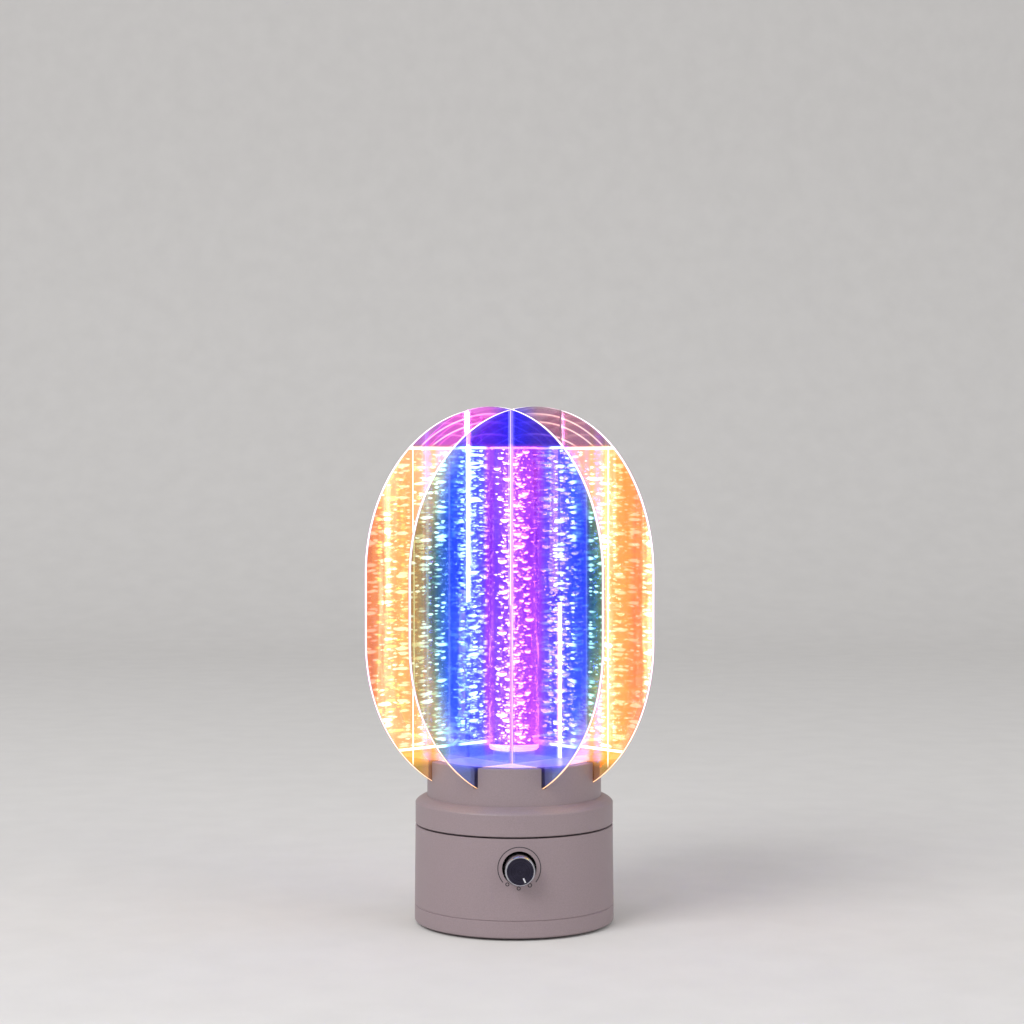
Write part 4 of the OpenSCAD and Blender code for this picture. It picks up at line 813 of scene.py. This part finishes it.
def cut_edge(name, strength, core=0.35):
    """A cut edge: light caught in the sheet leaves it, most in the core, a share of its half width."""
    mat, tree, bsdf = new_material(name, Roughness=0.4, Base_Color=linear("#a48e9e"))
    spot = add_node(tree, "SeparateXYZ", {"Vector": add_node(tree, "UVMap", uv_map="cut").outputs["UV"]})
    coords = add_node(tree, "TexCoord").outputs["Object"]
    grain = add_node(tree, "TexNoise", {"Vector": coords, "Scale": 1 / EDGE_GRAIN})
    rise = add_node(tree, "MapRange", {
        "Value": spot.outputs["Y"],
        "From Min": EDGE_LOW,
        "From Max": EDGE_HIGH,
    })
    place = add_node(tree, "Math", {
        0: grain.outputs["Fac"],
        1: 0.5,
        2: rise.outputs["Result"],
    }, operation="MULTIPLY_ADD")
    glow = add_node(tree, "ValToRGB", {"Fac": place.outputs["Value"]}, EDGE_GLOW)
    tree.links.new(glow.outputs["Color"], bsdf.inputs["Emission Color"])
    off = add_node(tree, "Math", {0: spot.outputs["X"]}, operation="ABSOLUTE")
    lit = add_node(tree, "MapRange", {
        "Value": off.outputs["Value"],
        "From Min": core,
        "From Max": core + EDGE_FADE,
        "To Min": strength,
        "To Max": strength * EDGE_REST,
    })
    tree.links.new(lit.outputs["Result"], bsdf.inputs["Emission Strength"])
    return mat


films = {kind: [tinted_sheet(kind, "sheet")[0], film_face(kind)] for kind in TINTS}
# Cut edges and slot faces glow with painted light, an emission drawn on them. The slot materials differ only
# in the strength of that painted glow: faint, middling and very bright.
edges = [
    cut_edge("laser_cut_edge", 2.6, 0.15),
    cut_edge("slot_faint_painted_glow", 0.15),
    cut_edge("slot_mid_painted_glow", 2.4),
    cut_edge("slot_bright_painted_glow", 20.0, 0.8),
]
OUTER, INNER, LASER_CUT, FAINT_GLOW_SLOT, MID_GLOW_SLOT, BRIGHT_GLOW_SLOT = range(6)
SLOT_REACH = 1.75 * MM

# Each plate: its direction, its side of the axis, its film, the sign of its warm end along its direction,
# and how strongly the slot at its negative end glows with painted light. The other slot's painted glow stays
# faint.
for name, turn, side, kind, warm_sign, slot_glow in (
    ("plate_back_left", PLATE_TURN, 1, "purple", -1, BRIGHT_GLOW_SLOT),
    ("plate_front_right", PLATE_TURN, -1, "lavender", 1, MID_GLOW_SLOT),
    ("plate_front_left", PLATE_TURN + 90, 1, "purple", 1, LASER_CUT),
    ("plate_back_right", PLATE_TURN + 90, -1, "lavender", -1, BRIGHT_GLOW_SLOT),
):
    sheet = bmesh.new()
    sheet.from_mesh(nodes[name].data)
    bmesh.ops.remove_doubles(sheet, verts=sheet.verts[:], dist=1e-6)
    bmesh.ops.dissolve_limit(sheet, angle_limit=math.radians(0.2), verts=sheet.verts[:],
                             edges=sheet.edges[:])
    along = Vector((math.cos(math.radians(turn)), math.sin(math.radians(turn)), 0))
    outwards = Vector((-along.y, along.x, 0)) * side
    sheet_map = sheet.loops.layers.uv.new("sheet")
    cut_map = sheet.loops.layers.uv.new("cut")
    for face in sheet.faces:
        lean = face.normal.dot(outwards)
        middle = face.calc_center_median().dot(along)
        in_slot = abs(abs(middle) - PLATE_A) < SLOT_REACH and abs(face.normal.z) < 0.1
        if abs(lean) > 0.9:
            face.material_index = OUTER if lean > 0 else INNER
        elif in_slot:
            face.material_index = slot_glow if middle < 0 else FAINT_GLOW_SLOT
        else:
            face.material_index = LASER_CUT
        face.smooth = False
        for loop in face.loops:
            spot = loop.vert.co
            loop[sheet_map].uv = (spot.dot(along) * warm_sign, spot.z)
            loop[cut_map].uv = ((spot.dot(outwards) - PLATE_A) / (SHEET_T / 2), spot.z)
    new_piece("dichroic_" + name, sheet, "turntable", "dichroic_acrylic", films[kind] + edges, name)

# Floor and backdrop: one sheet of pale matt paper that runs under the lamp and sweeps up behind it in a
# round bend. It is the stage, not a piece of the lamp.
PAPER_HALF_W, PAPER_FRONT, PAPER_BACK, PAPER_HIGH = 9, -9, 2.4, 3.5
BEND = 0.8
sweep = bmesh.new()
profile = ((PAPER_FRONT, 0), (PAPER_BACK, 0), (PAPER_BACK, PAPER_HIGH))
corners = [sweep.verts.new((-PAPER_HALF_W, y, z)) for y, z in profile]
side = [sweep.edges.new(corners[:2]), sweep.edges.new(corners[1:])]
swept = bmesh.ops.extrude_edge_only(sweep, edges=side)["geom"]
far_side = [g for g in swept if isinstance(g, bmesh.types.BMVert)]
bmesh.ops.translate(sweep, verts=far_side, vec=(2 * PAPER_HALF_W, 0, 0))
bend = [e for e in sweep.edges if all(v.co.y > PAPER_BACK - BEND and v.co.z < BEND for v in e.verts)]
bmesh.ops.bevel(sweep, geom=bend, offset=BEND, segments=9, profile=0.5, affect="EDGES", material=-1)
bmesh.ops.recalc_face_normals(sweep, faces=sweep.faces[:])
for face in sweep.faces:
    face.smooth = True
studio_paper = mottled("studio_paper", "#d8d6d4", "#d4d2d0", grain_mm=30, roughness=0.9)
backdrop = new_object("backdrop", sweep, [studio_paper])

# Studio light: an even soft surround, brighter at both sides, a large key light from the left and a weak
# fill from the right, both turned to the middle of the lamp.
AIM = Vector((0, 0, 0.12))
world = bpy.data.worlds.new("studio")
bpy.context.scene.world = world
world.use_nodes = True
tree = world.node_tree
surround = tree.nodes["Background"]
surround.inputs["Color"].default_value = (0.8, 0.8, 0.81, 1)
ways = add_node(tree, "SeparateXYZ", {"Vector": add_node(tree, "TexCoord").outputs["Generated"]})
aside = add_node(tree, "Math", {0: ways.outputs["X"]}, operation="ABSOLUTE")
level = add_node(tree, "MapRange", {"Value": aside.outputs["Value"], "To Min": 0.6, "To Max": 1.15})
tree.links.new(level.outputs["Result"], surround.inputs["Strength"])
for name, place, size, power in (
    ("key", (-1.2, -1.3, 1.5), 1.2, 30),
    ("fill", (1.5, -1.2, 0.9), 1.2, 8),
):
    light = bpy.data.lights.new(name, "AREA")
    light.size = size
    light.energy = power
    lamp = bpy.data.objects.new(name, light)
    bpy.context.collection.objects.link(lamp)
    lamp.location = place
    lamp.rotation_euler = (AIM - Vector(place)).to_track_quat("-Z", "Y").to_euler()

# Camera: at the head's height, a little to the left of the knob and turned slightly down, at the distance
# and with the focal length that put the lamp where the photograph has it.
SENSOR_MM, IMAGE_PX, FOCAL_PX = 36, 1024, 2200
DISTANCE, EYE_Z = 1.1, 0.226
AZIMUTH, PAN, DIP = math.radians(-2.9), math.radians(0.057), math.radians(1.094)
camera = bpy.data.objects.new("camera", bpy.data.cameras.new("camera"))
bpy.context.collection.objects.link(camera)
bpy.context.scene.camera = camera
camera.data.sensor_width = SENSOR_MM
camera.data.lens = SENSOR_MM * FOCAL_PX / IMAGE_PX
camera.location = (DISTANCE * math.sin(AZIMUTH), -DISTANCE * math.cos(AZIMUTH), EYE_Z)
camera.rotation_euler = (math.radians(90) - DIP, 0, AZIMUTH + PAN)
bpy.context.scene.view_settings.view_transform = "Standard"
